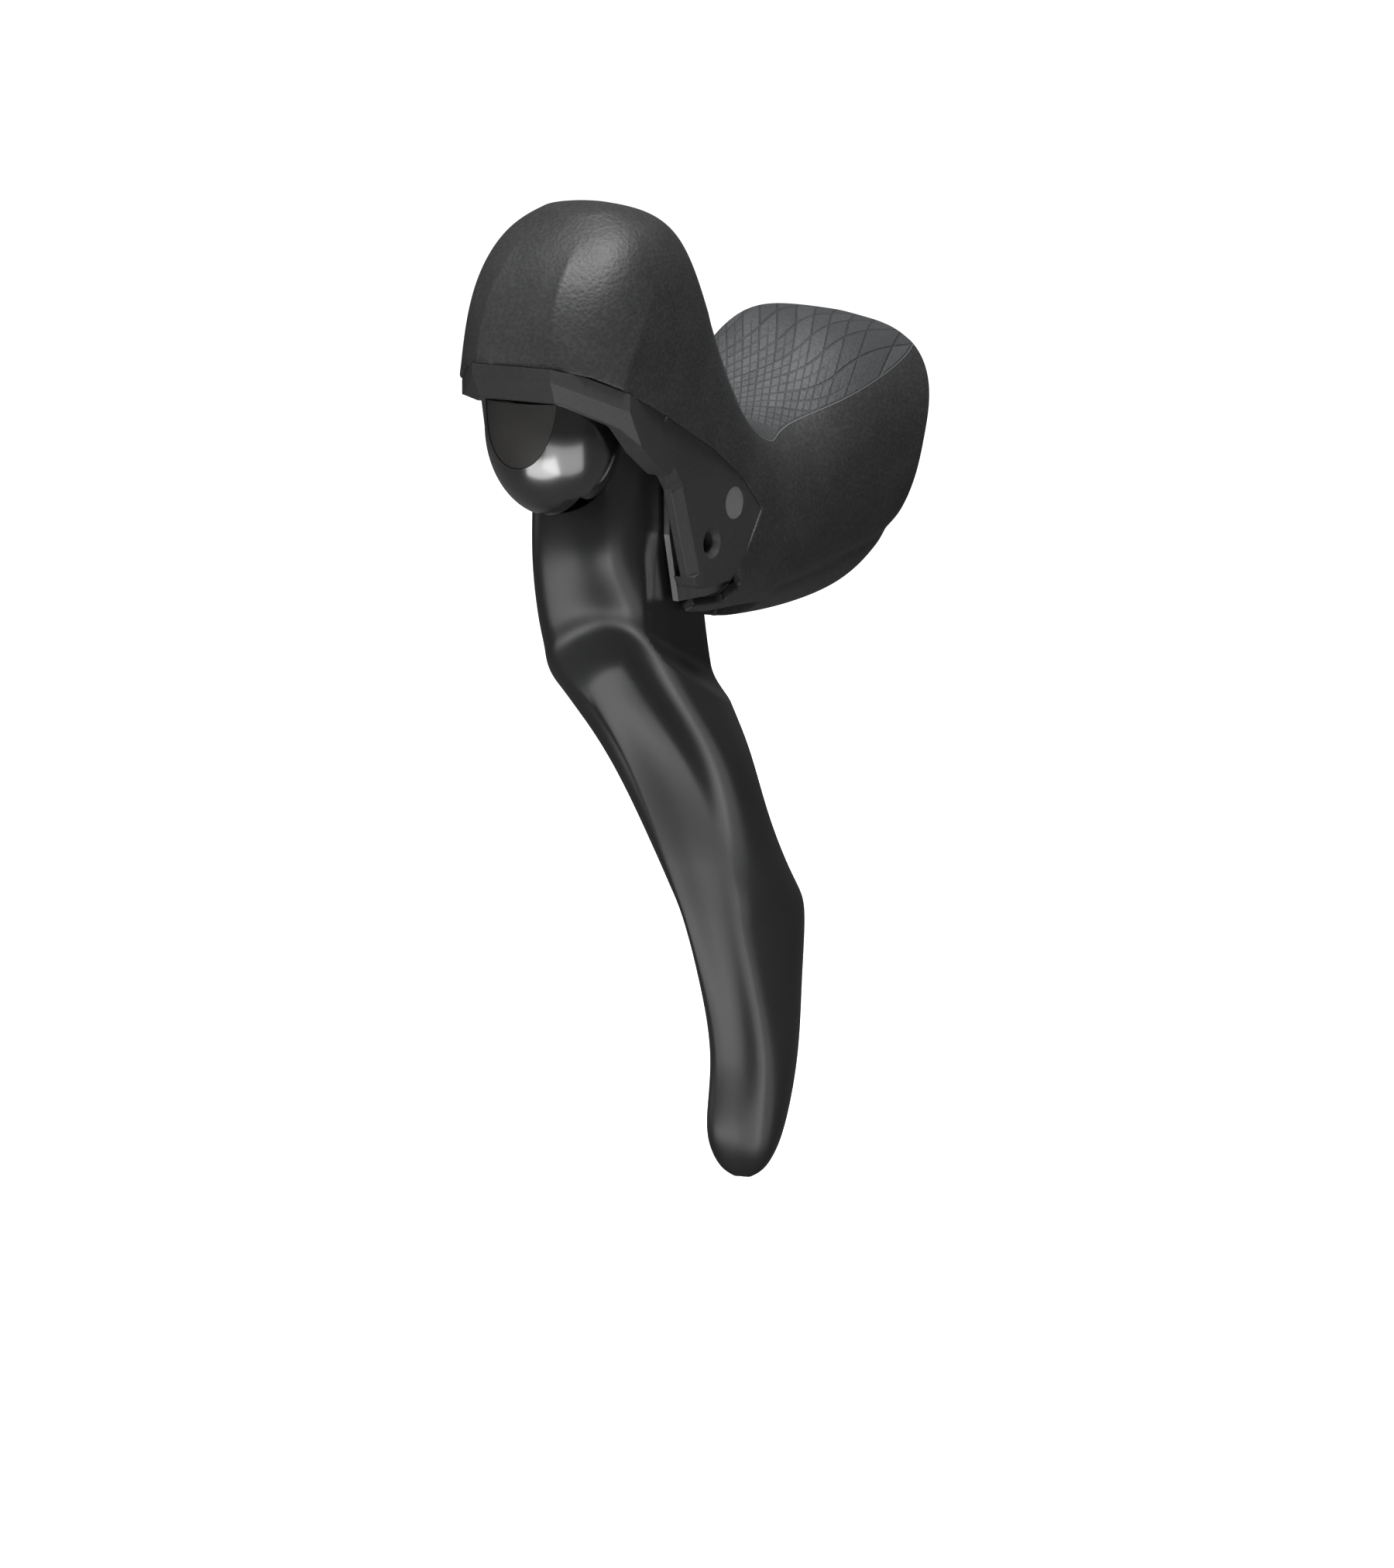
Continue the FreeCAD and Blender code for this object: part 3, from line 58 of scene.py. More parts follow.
# The bracket: one moulding of glass-filled resin, with a fine matt skin from its mould. Its rim
# and ears show below the hood, and the rest is inside it. The reservoir's lid is the same resin.
class Field:
    """A socket of a shader that works in sums and products, and makes further nodes from itself."""

    def __init__(self, socket, tree):
        self.socket = socket
        self.tree = tree

    def node(self, kind, settings, inputs, output=0):
        made = self.tree.nodes.new(kind)
        for name, value in settings.items():
            setattr(made, name, value)
        for name, value in inputs.items():
            if isinstance(value, Field):
                self.tree.links.new(value.socket, made.inputs[name])
            else:
                made.inputs[name].default_value = value
        return Field(made.outputs[output], self.tree)

    def maths(self, operation, *others):
        return self.node("ShaderNodeMath", {"operation": operation}, dict(enumerate((self,) + others)))

    def __add__(self, other):
        return self.maths("ADD", other)

    __radd__ = __add__

    def __mul__(self, other):
        return self.maths("MULTIPLY", other)

    __rmul__ = __mul__

    def __sub__(self, other):
        return self.maths("SUBTRACT", other)

    def __rsub__(self, other):
        return (self * -1.0) + other

    def ramp(self, low, high):
        """0 below low, 1 above high, and smooth between them."""
        values = {"Value": self, "From Min": low, "From Max": high}
        return self.node("ShaderNodeMapRange", {"interpolation_type": "SMOOTHSTEP"}, values)

    def grain(self, size, detail=2.0, roughness=0.5):
        """Soft noise with features of about this size, when this field is a place."""
        inputs = {"Vector": self, "Scale": 1.0 / size, "Detail": detail, "Roughness": roughness}
        return self.node("ShaderNodeTexNoise", {}, inputs)

    def blend(self, first, second):
        """The first colour where this field is 0, and the second where it is 1."""
        made = self.tree.nodes.new("ShaderNodeMix")
        made.data_type = "RGBA"
        ends = [s for s in made.inputs if s.type == "RGBA"]
        for socket, value in zip(ends, (first, second)):
            if isinstance(value, Field):
                self.tree.links.new(value.socket, socket)
            else:
                socket.default_value = value
        self.tree.links.new(self.socket, made.inputs[0])
        return Field(made.outputs[2], self.tree)

    def bump(self, distance, under=None):
        """A normal bent by this field as a relief, over another normal where one is given."""
        inputs = {"Height": self, "Distance": distance, "Strength": 1.0}
        if under:
            inputs["Normal"] = under
        return self.node("ShaderNodeBump", {}, inputs)


def grey(level, warm=0.0):
    """A linear colour from an sRGB grey of 0 to 255, a little warmer or cooler."""
    value = (level / 255.0 + 0.055) / 1.055
    linear = value ** 2.4 if level > 10 else level / 255.0 / 12.92
    return (linear * (1 + warm), linear, linear * (1 - warm), 1.0)


def new_finish(name, **sockets):
    """A material with its shader's fixed sockets set, and the place on the piece as a field."""
    material = bpy.data.materials.new(name)
    material.use_nodes = True
    tree = material.node_tree
    shader = tree.nodes["Principled BSDF"]
    for socket, value in sockets.items():
        shader.inputs[socket.replace("_", " ")].default_value = value
    place = Field(tree.nodes.new("ShaderNodeTexCoord").outputs["Object"], tree)
    return material, shader, place


def feed(shader, **fields):
    """Links fields that change over the surface into the shader."""
    for socket, field in fields.items():
        field.tree.links.new(field.socket, shader.inputs[socket.replace("_", " ")])


def dress(material, *names):
    """Gives a finish to solids that keep their own form."""
    for name in names:
        mesh = nodes[name].data
        mesh.materials.clear()
        mesh.materials.append(material)
        mesh.shade_smooth()
        mesh.set_sharp_from_angle(angle=SMOOTH_ANGLE)


SMOOTH_ANGLE = radians(30)
RESIN_DARK = grey(50, -0.01)
RESIN_LIGHT = grey(60, -0.01)
RESIN_GRAIN = 0.5 * MM

composite, shader, place = new_finish("moulded_composite", Specular_IOR_Level=0.4)
speckle = place.grain(RESIN_GRAIN, 4.0, 0.6)
cloud = place.grain(14 * MM)
edge_round = place.node("ShaderNodeBevel", {"samples": 6}, {"Radius": 0.25 * MM})
feed(shader,
     Base_Color=(speckle * 0.6 + cloud * 0.4).ramp(0.3, 0.75).blend(RESIN_DARK, RESIN_LIGHT),
     Roughness=cloud * 0.12 + 0.44,
     Normal=speckle.bump(0.012 * MM, edge_round))
dress(composite, "bracket_body", "reservoir_lid")


# The fixed metal: a steel band with a square nut and a socket bolt holds the bracket to the
# handlebar, and steel plates line the ears, turned round the axle between them.
def steel(name, colour, roughness, streak):
    """Bright metal with fine drawn streaks across it."""
    material, shader, place = new_finish(name, Metallic=1.0)
    stretched = place.node("ShaderNodeMapping", {}, {"Vector": place, "Scale": (1.0, 1.0, 0.06)})
    lines = stretched.grain(streak, 3.0, 0.6)
    feed(shader,
         Base_Color=lines.ramp(0.25, 0.8).blend(tuple(0.82 * c for c in colour[:3]) + (1.0,), colour),
         Roughness=lines * 0.16 + roughness,
         Normal=lines.bump(0.004 * MM))
    return material


plated = steel("bright_plated_steel", grey(186), 0.24, 0.3 * MM)
blasted = steel("blasted_axle_steel", grey(212), 0.42, 0.12 * MM)
blackened = steel("black_oxide_steel", grey(62, -0.02), 0.36, 0.2 * MM)
bronze = steel("sintered_bronze", (0.45, 0.31, 0.15, 1.0), 0.4, 0.25 * MM)
turned_alloy = steel("turned_alloy", grey(200), 0.3, 0.2 * MM)
dress(plated, "clamp_band", "clamp_nut", "ear_plates", "return_spring", "snap_ring", "piston_spring",
      "push_rod", "bleed_screw", "lever_link", "thrust_roller", "roller_pin", "reach_nut")
dress(blasted, "pivot_axle")
dress(blackened, "clamp_bolt", "lid_screws", "axle_set_screw", "reach_screw", "cover_screw",
      "free_stroke_screw")
dress(bronze, "blade_bushes", "link_bush")
dress(turned_alloy, "cylinder_sleeve")


# The seals and the piston: moulded nitrile rubber, and a turned resin piston that it seals.
seal_rubber, shader, place = new_finish("seal_rubber", Specular_IOR_Level=0.35)
feed(shader,
     Base_Color=place.grain(0.6 * MM).ramp(0.3, 0.7).blend(grey(30), grey(38)),
     Roughness=place.grain(0.4 * MM) * 0.15 + 0.5,
     Normal=place.grain(0.3 * MM).bump(0.01 * MM))
dress(seal_rubber, "reservoir_diaphragm", "bleed_o_ring", "primary_cup", "secondary_cup")

piston_resin, shader, place = new_finish("piston_resin", Specular_IOR_Level=0.5)
feed(shader,
     Base_Color=place.grain(0.8 * MM).ramp(0.3, 0.7).blend(grey(88, 0.05), grey(104, 0.05)),
     Roughness=place.grain(0.5 * MM) * 0.1 + 0.35,
     Normal=place.grain(0.2 * MM).bump(0.006 * MM))
dress(piston_resin, "piston")


# The hood: one soft rubber moulding pulled over the bracket. Its skin has a fine leathery grain,
# and over the palm rest an engraved net of crossing grooves inside a thin raised border.
# Each station, from the rear to the horn's top: the section's top and bottom in the side view, half
# its width, how square its outer and inner shoulders and its underside are, and how far it leans.
STATIONS = (
    ((4.5, 20.1), (-10.4, -21.9), 18.2, 2.8, 3.6, 2.7, 0.17),
    ((-9.0, 22.0), (-17.4, -27.6), 18.1, 2.8, 3.6, 2.7, 0.22),
    ((-21.0, 20.8), (-27.0, -29.9), 18.0, 2.7, 3.5, 2.7, 0.33),
    ((-33.0, 14.1), (-37.8, -30.5), 18.0, 2.5, 3.4, 2.6, 0.3),
    ((-44.0, 7.8), (-49.5, -30.2), 18.1, 2.4, 3.0, 2.6, 0.06),
    ((-53.0, 9.8), (-64.0, -29.6), 18.5, 2.5, 2.8, 2.6, 0.03),
    ((-59.0, 16.5), (-84.0, -27.0), 18.9, 2.6, 2.6, 2.8, 0.0),
    ((-63.6, 25.0), (-103.0, -13.0), 19.2, 2.6, 2.6, 3.0, 0.0),
    ((-67.8, 33.3), (-113.3, 5.0), 19.2, 2.6, 2.6, 2.8, 0.0),
    ((-71.6, 40.0), (-114.6, 21.5), 18.8, 2.5, 2.5, 2.5, 0.0),
    ((-76.2, 45.6), (-111.5, 34.0), 17.4, 2.4, 2.4, 2.3, 0.0),
    ((-81.5, 49.0), (-105.0, 43.3), 13.8, 2.2, 2.2, 2.1, 0.0),
    ((-88.0, 50.6), (-97.5, 49.2), 7.5, 2.0, 2.0, 2.0, 0.0),
)
LOFT_STEPS = 600
HOOD_LENGTHWAYS = 190
HOOD_AROUND = 208
HOOD_WALL = 1.85
# The open front edge, from the horn's lip down to the slot that the blade swings in
HOOD_EDGE = (
    (-115.0, 23.1), (-110.5, 21.7), (-104.2, 18.3), (-90.5, 12.0), (-76.1, 4.9), (-66.7, -1.2), (-60.5, -7.5),
    (-67.6, -17.6), (-64.6, -21.6), (-67.8, -24.4), (-77.0, -24.0), (-79.5, -26.5), (-76.0, -32.0),
)
LEVER_SLOT_HALF = 12.9
LEVER_SLOT_REAR = -52.5
EDGE_SNAP = 0.9
EDGE_WELD = 0.3
LIP_CURL = 0.55
LIP_REACH = 1.6
FRONT_RIDGE_LIFT = 0.95
FRONT_RIDGE_WIDTH = 2.8
SIDE_RIDGE_LIFT = 0.8
SIDE_RIDGE_WIDTH = 3.2
PALM_SUNK = 0.12
CREASE_DEPTH = 0.35
CREASE_REACH = 1.1
CAP_SHARES = (0.82, 0.6, 0.36, 0.14)
CAP_RISE = 0.7
# The palm rest's border and the seam over the ear, as lines in the side view
PALM_BORDER = (
    (6.0, 16.6), (-1.8, 14.6), (-14.8, 11.4), (-27.7, 8.1), (-39.6, 5.3), (-46.2, 3.5), (-48.5, 3.1),
    (-50.6, 3.4), (-53.8, 4.6), (-59.3, 7.6), (-64.6, 11.7), (-69.3, 18.0), (-72.5, 24.0),
    (-73.5, 28.5), (-71.0, 31.5), (-55.0, 33.0),
)
FLAP_LINE = (
    (-60.5, -7.5), (-57.1, -10.0), (-54.5, -12.4), (-52.3, -14.2), (-51.0, -15.7), (-50.2, -18.3),
    (-51.0, -20.3), (-53.7, -23.3), (-58.4, -25.2),
)
# Where the grooves lie across the palm rest, closer together near the thumb's saddle
NET_ROWS = (-40.0, -34.0, -28.0, -22.0, -16.0, -10.6, -5.2, 0.0, 4.8, 9.4, 15.0, 21.5, 28.5, 36.0)
NET_SLANTS = (-70.0, -62.0, -55.0, -49.0, -43.5, -38.5, -34.0, -30.0, -26.2, -22.4, -18.4, -14.0, -10.0,
              -6.2, -1.7, 3.0, 10.5, 18.0, 26.0)
NET_SPAN = 150.0
NET_SLOPE = 7.4
NET_STRAIGHT = 2.2
NET_CURL = 7.0
NET_CURLED = 1.8
LOWER_CREASE = ((-50.0, -24.0), (-37.0, -22.6), (-22.0, -20.0), (-9.0, -17.4))


def curve_through(places, points, wanted, closed=False):
    """A cubic spline through points at the given places, natural at its ends or closed on itself."""
    step = np.diff(places)
    count = len(places)
    slope = np.diff(points, axis=0) / step.reshape(-1, *[1] * (points.ndim - 1))
    system = np.zeros((count, count))
    turn = np.zeros(points.shape)
    for i in range(1, count - 1):
        system[i, i - 1:i + 2] = step[i - 1], 2 * (step[i - 1] + step[i]), step[i]
        turn[i] = 6 * (slope[i] - slope[i - 1])
    system[0, 0] = 1
    system[-1, -1] = 1
    if closed:
        system[0, -1] = -1
        system[-1, [0, 1, -2, -1]] = 0, step[0], step[-1], 2 * (step[0] + step[-1])
        turn[-1] = 6 * (slope[0] - slope[-1])
    bend = np.linalg.solve(system, turn.reshape(count, -1)).reshape(points.shape)
    i = np.clip(np.searchsorted(places, wanted, side="right") - 1, 0, count - 2)
    shape = (-1,) + (1,) * (points.ndim - 1)
    h = step[i].reshape(shape)
    b = (wanted - places[i]).reshape(shape) / h
    a = 1 - b
    bent = (a ** 3 - a) * bend[i] + (b ** 3 - b) * bend[i + 1]
    return a * points[i] + b * points[i + 1] + bent * h * h / 6


def evenly(points, count):
    """Points at even distances along an open line."""
    lengths = np.linalg.norm(np.diff(points, axis=0), axis=1)
    along = np.concatenate(([0.0], np.cumsum(lengths)))
    wanted = np.linspace(0, along[-1], count)
    return np.stack([np.interp(wanted, along, points[:, k]) for k in range(3)], axis=1)


def lofted(sections, count):
    """A skin of evenly spaced rings through sections, and each ring's place among the sections."""
    numbers = np.arange(len(sections), dtype=float)
    fine = np.linspace(0, numbers[-1], LOFT_STEPS)
    path = curve_through(numbers, sections, fine)
    strides = np.linalg.norm(np.diff(path, axis=0), axis=2).mean(axis=1)
    reached = np.concatenate(([0.0], np.cumsum(strides)))
    chosen = np.interp(np.linspace(0, reached[-1], count), reached, fine)
    return curve_through(numbers, sections, chosen), chosen


def outward_normals(skin):
    """The normals of a skin at its points, away from each ring's middle."""
    normals = np.cross(np.gradient(skin, axis=0), np.gradient(skin, axis=1))
    normals /= np.linalg.norm(normals, axis=2, keepdims=True)
    middles = skin.mean(axis=1, keepdims=True)
    return normals * np.sign((normals * (skin - middles)).sum(axis=2, keepdims=True))


def hood_section(top, bottom, half, outer_top, inner_top, low, cant):
    """One section of the hood: even points from the bottom, up the outer side and down the inner one."""
    angle = np.linspace(0, 2 * pi, 721)
    c, s = np.cos(angle), np.sin(angle)
    square = np.where(c > 0, low, np.where(s > 0, outer_top, inner_top))
    along = np.sign(c) * np.abs(c) ** (2 / square)
    x = half * np.sign(s) * np.abs(s) ** (2 / square)
    top, bottom = np.array(top), np.array(bottom)
    rise = (bottom - top) / 2
    along = along + cant * x * np.maximum(-along, 0) / np.linalg.norm(rise)
    points = np.column_stack([x, (top + bottom) / 2 + along[:, None] * rise])
    halfway = len(angle) // 2
    outer = evenly(points[:halfway + 1], HOOD_AROUND // 2 + 1)
    inner = evenly(points[halfway:], HOOD_AROUND // 2 + 1)
    return np.concatenate([outer[:-1], inner[:-1]])


def line_distance(y, z, line):
    """Distance in the side view from a line of points."""
    nearest = np.full(y.shape, 1e9)
    for (y0, z0), (y1, z1) in zip(line, line[1:]):
        dy, dz = y1 - y0, z1 - z0
        share = np.clip(((y - y0) * dy + (z - z0) * dz) / (dy * dy + dz * dz), 0, 1)
        nearest = np.minimum(nearest, np.hypot(y - y0 - share * dy, z - z0 - share * dz))
    return nearest


def inside(y, z, outline):
    """Whether places in the side view lie inside an outline."""
    result = np.zeros(y.shape, bool)
    for (y0, z0), (y1, z1) in zip(outline, outline[1:] + outline[:1]):
        crosses = (z0 > z) != (z1 > z)
        if z1 != z0:
            result ^= crosses & (y < (y1 - y0) * (z - z0) / (z1 - z0) + y0)
    return result


def smooth_step(value, low, high):
    share = np.clip((value - low) / (high - low), 0, 1)
    return share * share * (3 - 2 * share)


def counted(values, lines):
    """Turns values into a count of lines passed, so that each line lies at a whole number."""
    return np.interp(values, lines, np.arange(len(lines), dtype=float))


skin, chosen = lofted(np.array([hood_section(*row) for row in STATIONS]), HOOD_LENGTHWAYS)

# Soft ridges that part the horn's front, oblique and side faces
front_arc = np.linalg.norm(np.diff(skin, axis=1, prepend=skin[:, :1]), axis=2).cumsum(axis=1)
front_arc = np.minimum(front_arc, front_arc[:, -1:] - front_arc)
outward = outward_normals(skin)
height = skin[:, :, 2]
on_horn = smooth_step(chosen, 6.6, 8.2)[:, None] * smooth_step(-height, -47.0, -36.0)
front_ridge = 7.6 - 0.05 * (height - 20.0)
side_ridge = 21.0 + 0.42 * (height - 18.0)
side_fade = smooth_step(-height, -40.0, -24.0)
lift = FRONT_RIDGE_LIFT * np.exp(-np.abs(front_arc - front_ridge) / FRONT_RIDGE_WIDTH) * on_horn
lift += SIDE_RIDGE_LIFT * np.exp(-np.abs(front_arc - side_ridge) / SIDE_RIDGE_WIDTH) * on_horn * side_fade
skin = skin + outward * lift[:, :, None]

# The net of grooves: one family runs along the palm rest, and one crosses it on a slant
x, y, z = skin[:, :, 0], skin[:, :, 1], skin[:, :, 2]
across_palm = NET_SPAN * (0.5 - np.arange(HOOD_AROUND) / HOOD_AROUND)[None, :]
station = chosen[:, None]
turning = np.clip(station - NET_STRAIGHT, 0, NET_CURLED)
climb = NET_CURL * (turning ** 2 + 2 * NET_CURLED * np.maximum(station - NET_STRAIGHT - NET_CURLED, 0))
net_rows = counted(across_palm + climb, NET_ROWS)
net_slants = counted(across_palm - NET_SLOPE * station, NET_SLANTS)
near_saddle = np.repeat(smooth_step(station, 1.9, 2.9), HOOD_AROUND, axis=1)
palm_outline = PALM_BORDER + ((60.0, 33.0), (60.0, 16.6))
palm_depth = line_distance(y, z, PALM_BORDER) * np.where(inside(y, z, palm_outline), 1, -1)
skin = skin - outward * (PALM_SUNK * smooth_step(palm_depth, 0.1, 1.4))[:, :, None]
edge_depth = line_distance(y, z, HOOD_EDGE)
curl = np.exp(-(edge_depth / LIP_REACH) ** 2) * smooth_step(-y, 109.0, 113.5)
curl *= smooth_step(-np.abs(x), -11.0, -2.0)
skin = skin + outward * (LIP_CURL * curl)[:, :, None]
flap_depth = line_distance(y, z, FLAP_LINE)
crease_depth = line_distance(y, z, LOWER_CREASE)
skin = skin - outward * (CREASE_DEPTH * np.exp(-(crease_depth / CREASE_REACH) ** 2))[:, :, None]

# The domed top of the horn closes the last ring
last = skin[-1]
middle = last.mean(axis=0)
caps = [middle + (last - middle) * share + Vector((0, 0, CAP_RISE)) * (1 - share * share)
        for share in CAP_SHARES]
hood_rings = np.concatenate([skin, np.array(caps)])


def ring_mesh(rings, attributes=None, cap_first=False):
    """A mesh of quads through rings of points in millimetres, closed by a face at the last ring."""
    count, around = rings.shape[:2]
    mesh = bmesh.new()
    layers = {name: mesh.verts.layers.float.new(name) for name in (attributes or {})}
    made = [[mesh.verts.new(Vector(p) * MM) for p in ring] for ring in rings]
    for name, values in (attributes or {}).items():
        for ring, row in zip(made, values):
            for vertex, value in zip(ring, row):
                vertex[layers[name]] = value
    for first, second in zip(made, made[1:]):
        for i in range(around):
            mesh.faces.new((first[i - 1], first[i], second[i], second[i - 1]))
    mesh.faces.new(made[-1])
    if cap_first:
        mesh.faces.new(list(reversed(made[0])))
    bmesh.ops.recalc_face_normals(mesh, faces=mesh.faces)
    return mesh


def spread(values):
    """Carries an attribute of the skin over the rings of the cap."""
    return np.concatenate([values, np.repeat(values[-1:], len(caps), axis=0)])


hood = ring_mesh(hood_rings, {"net_rows": spread(net_rows), "net_slants": spread(net_slants),
                              "palm_depth": spread(palm_depth), "flap_depth": spread(flap_depth),
                              "near_saddle": spread(near_saddle)})


def side_distance(centre, start, end):
    run = end - start
    share = max(0.0, min(1.0, (centre - start).dot(run) / run.length_squared))
    return (centre - start - run * share).length


def slice_faces(mesh, faces, point, direction):
    """Splits some of a mesh's faces where a plane passes through them."""
    corners = list({v for f in faces for v in f.verts})
    edges = list({e for f in faces for e in f.edges})
    bmesh.ops.bisect_plane(mesh, geom=corners + edges + faces, dist=1e-6, plane_co=point, plane_no=direction)


def cut_along(mesh, line, reach):
    """Cuts the faces near a side-view line of points, so that it becomes a row of edges."""
    for (y0, z0), (y1, z1) in zip(line, line[1:]):
        start, end = Vector((y0, z0)) * MM, Vector((y1, z1)) * MM
        faces = [f for f in mesh.faces
                 if side_distance(Vector(f.calc_center_median()[1:]), start, end) < reach * MM]
        slice_faces(mesh, faces, (0, start.x, start.y), (0, start.y - end.y, end.x - start.x))


# The front edge is cut first, and then the slot in the underside that the blade swings in
cut_along(hood, HOOD_EDGE, 3.0)
before_edge = ((-160.0, 46.0),) + HOOD_EDGE + ((-76.0, -80.0), (-160.0, -80.0))
centres = np.array([f.calc_center_median() for f in hood.faces]) / MM
taken = inside(centres[:, 1], centres[:, 2], before_edge)
bmesh.ops.delete(hood, geom=[f for f, gone in zip(hood.faces, taken) if gone], context="FACES")
for side in (-1, 1):
    faces = [f for f in hood.faces
             if f.calc_center_median()[2] < 0 and f.calc_center_median()[1] < -45.0 * MM]
    slice_faces(hood, faces, (side * LEVER_SLOT_HALF * MM, 0, 0), (1, 0, 0))
faces = [f for f in hood.faces if f.calc_center_median()[2] < -20.0 * MM]
slice_faces(hood, faces, (0, LEVER_SLOT_REAR * MM, 0), (0, 1, 0))
slot = [f for f in hood.faces if abs(f.calc_center_median()[0]) < LEVER_SLOT_HALF * MM
        and f.calc_center_median()[1] < LEVER_SLOT_REAR * MM and f.calc_center_median()[2] < -10.0 * MM]
bmesh.ops.delete(hood, geom=slot, context="FACES")


def weld_slivers(mesh, reach):
    """Pulls points that lie close to the open rim onto it."""
    rim = [v for v in mesh.verts if v.is_boundary]
    on_rim = set(rim)
    for vertex in rim:
        for edge in vertex.link_edges:
            other = edge.other_vert(vertex)
            if other not in on_rim and (other.co - vertex.co).length < reach:
                other.co = vertex.co.copy()
    bmesh.ops.remove_doubles(mesh, verts=mesh.verts, dist=1e-6)


def nearest_on(point, line):
    """The nearest point of a side-view line, in metres."""
    best = None
    for (y0, z0), (y1, z1) in zip(line, line[1:]):
        start, run = Vector((y0, z0)) * MM, Vector((y1 - y0, z1 - z0)) * MM
        share = max(0.0, min(1.0, (point - start).dot(run) / run.length_squared))
        place = start + run * share
        if best is None or (place - point).length < (best - point).length:
            best = place
    return best


for vertex in [v for v in hood.verts if v.is_boundary]:
    place = nearest_on(vertex.co.yz, HOOD_EDGE)
    if (place - vertex.co.yz).length < EDGE_SNAP * MM:
        vertex.co.y, vertex.co.z = place
weld_slivers(hood, EDGE_WELD * MM)


def as_piece(name, mesh, body, replaced, material, sharp=SMOOTH_ANGLE):
    """Makes a piece of the object from a finished mesh."""
    data = bpy.data.meshes.new(name)
    mesh.to_mesh(data)
    mesh.free()
    piece = bpy.data.objects.new(name, data)
    bpy.context.scene.collection.objects.link(piece)
    data.materials.append(material)
    data.shade_smooth()
    data.set_sharp_from_angle(angle=sharp)
    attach(piece, body)
    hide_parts(*replaced)
    return piece


HOOD_SIDE = grey(43, -0.01)
HOOD_FLECK = grey(58, -0.01)
# The palm rest's greys are its own tone plus painted light from above: the top of the hood is made lighter
# than its sides.
PALM_LOW_WITH_TOP_LIGHT = grey(62, -0.04)
PALM_HIGH_WITH_TOP_LIGHT = grey(80, -0.04)
HOOD_GRAIN = 0.7 * MM
GROOVE_HALF = 0.055
rubber, shader, place = new_finish("hood_rubber_skin", Specular_IOR_Level=0.45)


def carried(name):
    """A value that the mesh carries at its points."""
    return place.node("ShaderNodeAttribute", {"attribute_name": name}, {}, output=2)


leather = place.node("ShaderNodeTexVoronoi", {"feature": "SMOOTH_F1"},
                     {"Vector": place, "Scale": 1.0 / HOOD_GRAIN, "Smoothness": 0.7})
pores = place.grain(0.16 * MM, 3.0, 0.6)
cloud = place.grain(9 * MM, 3.0)
palm = carried("palm_depth").ramp(0.15, 0.45)


def groove(field, half):
    """1 in a groove at each whole number of the field, 0 between them."""
    distance = ((field.maths("FRACT") - 0.5).maths("ABSOLUTE") * -1.0) + 0.5
    return 1.0 - distance.ramp(half * 0.4, half)


def net_of(rows, slants, half):
    """1 in the grooves of both families, 0 between them."""
    return groove(rows, half).maths("MAXIMUM", groove(slants, half))


def tile_levels(rows, slants):
    """A level for each tile between the grooves, from 0 to 1."""
    corner = rows.node("ShaderNodeCombineXYZ", {}, {
        "X": rows.maths("FLOOR"), "Y": slants.maths("FLOOR"), "Z": 0.0})
    return corner.node("ShaderNodeTexWhiteNoise", {"noise_dimensions": "3D"}, {"Vector": corner})


rows_field, slants_field = carried("net_rows"), carried("net_slants")
near_side = carried("near_saddle")
fine_grooves = net_of(rows_field * 2.0, slants_field * 2.0, 1.6 * GROOVE_HALF)
net = net_of(rows_field, slants_field, GROOVE_HALF).maths("MAXIMUM", fine_grooves * near_side * 0.75) * palm
border = 1.0 - carried("palm_depth").maths("ABSOLUTE").ramp(0.07, 0.15)
flap = 1.0 - carried("flap_depth").ramp(0.06, 0.16)
large_tiles = tile_levels(rows_field, slants_field) * 0.6
fine_tiles = tile_levels(rows_field * 2.0, slants_field * 2.0) * 0.4 * near_side
tiles = (large_tiles + fine_tiles) * palm
relief = tiles * 0.09 - net * 0.2 + border * 0.16 - flap * 0.12
skin_normal = relief.bump(1.0 * MM)
grained = (leather * 0.6 + pores * 0.4).bump(0.11 * MM, skin_normal)
side_colour = (leather * 0.5 + cloud * 0.5).ramp(0.2, 0.8).blend(HOOD_SIDE, HOOD_FLECK)
# The palm rest's colour: its own tile tone, made lighter overall as painted top light.
palm_tone_and_top_light = (leather * 0.4 + tiles * 0.6).ramp(0.1, 0.9).blend(PALM_LOW_WITH_TOP_LIGHT, PALM_HIGH_WITH_TOP_LIGHT)
colour = palm.blend(side_colour, palm_tone_and_top_light)
# Painted shade: the grooves of the net are darkened in the colour.
colour = (net * 0.3).blend(colour, grey(38, -0.02))
# Painted highlight: the raised border line and the flap's seam are lightened in the colour.
colour = (border.maths("MAXIMUM", flap * 0.6)).blend(colour, grey(94, -0.01))
feed(shader, Base_Color=colour, Roughness=cloud * 0.1 + 0.43 + palm * 0.06, Normal=grained)

hood_piece = as_piece("rubber_hood", hood, "bracket", ["hood_cover"], rubber, radians(50))
wall = hood_piece.modifiers.new("wall", "SOLIDIFY")
wall.thickness = HOOD_WALL * MM
wall.offset = -1.0
wall.use_even_offset = False
lip = hood_piece.modifiers.new("lip", "BEVEL")
lip.width = 0.3 * MM
lip.segments = 2
lip.limit_method = "ANGLE"
lip.angle_limit = radians(62)
lip.use_clamp_overlap = False


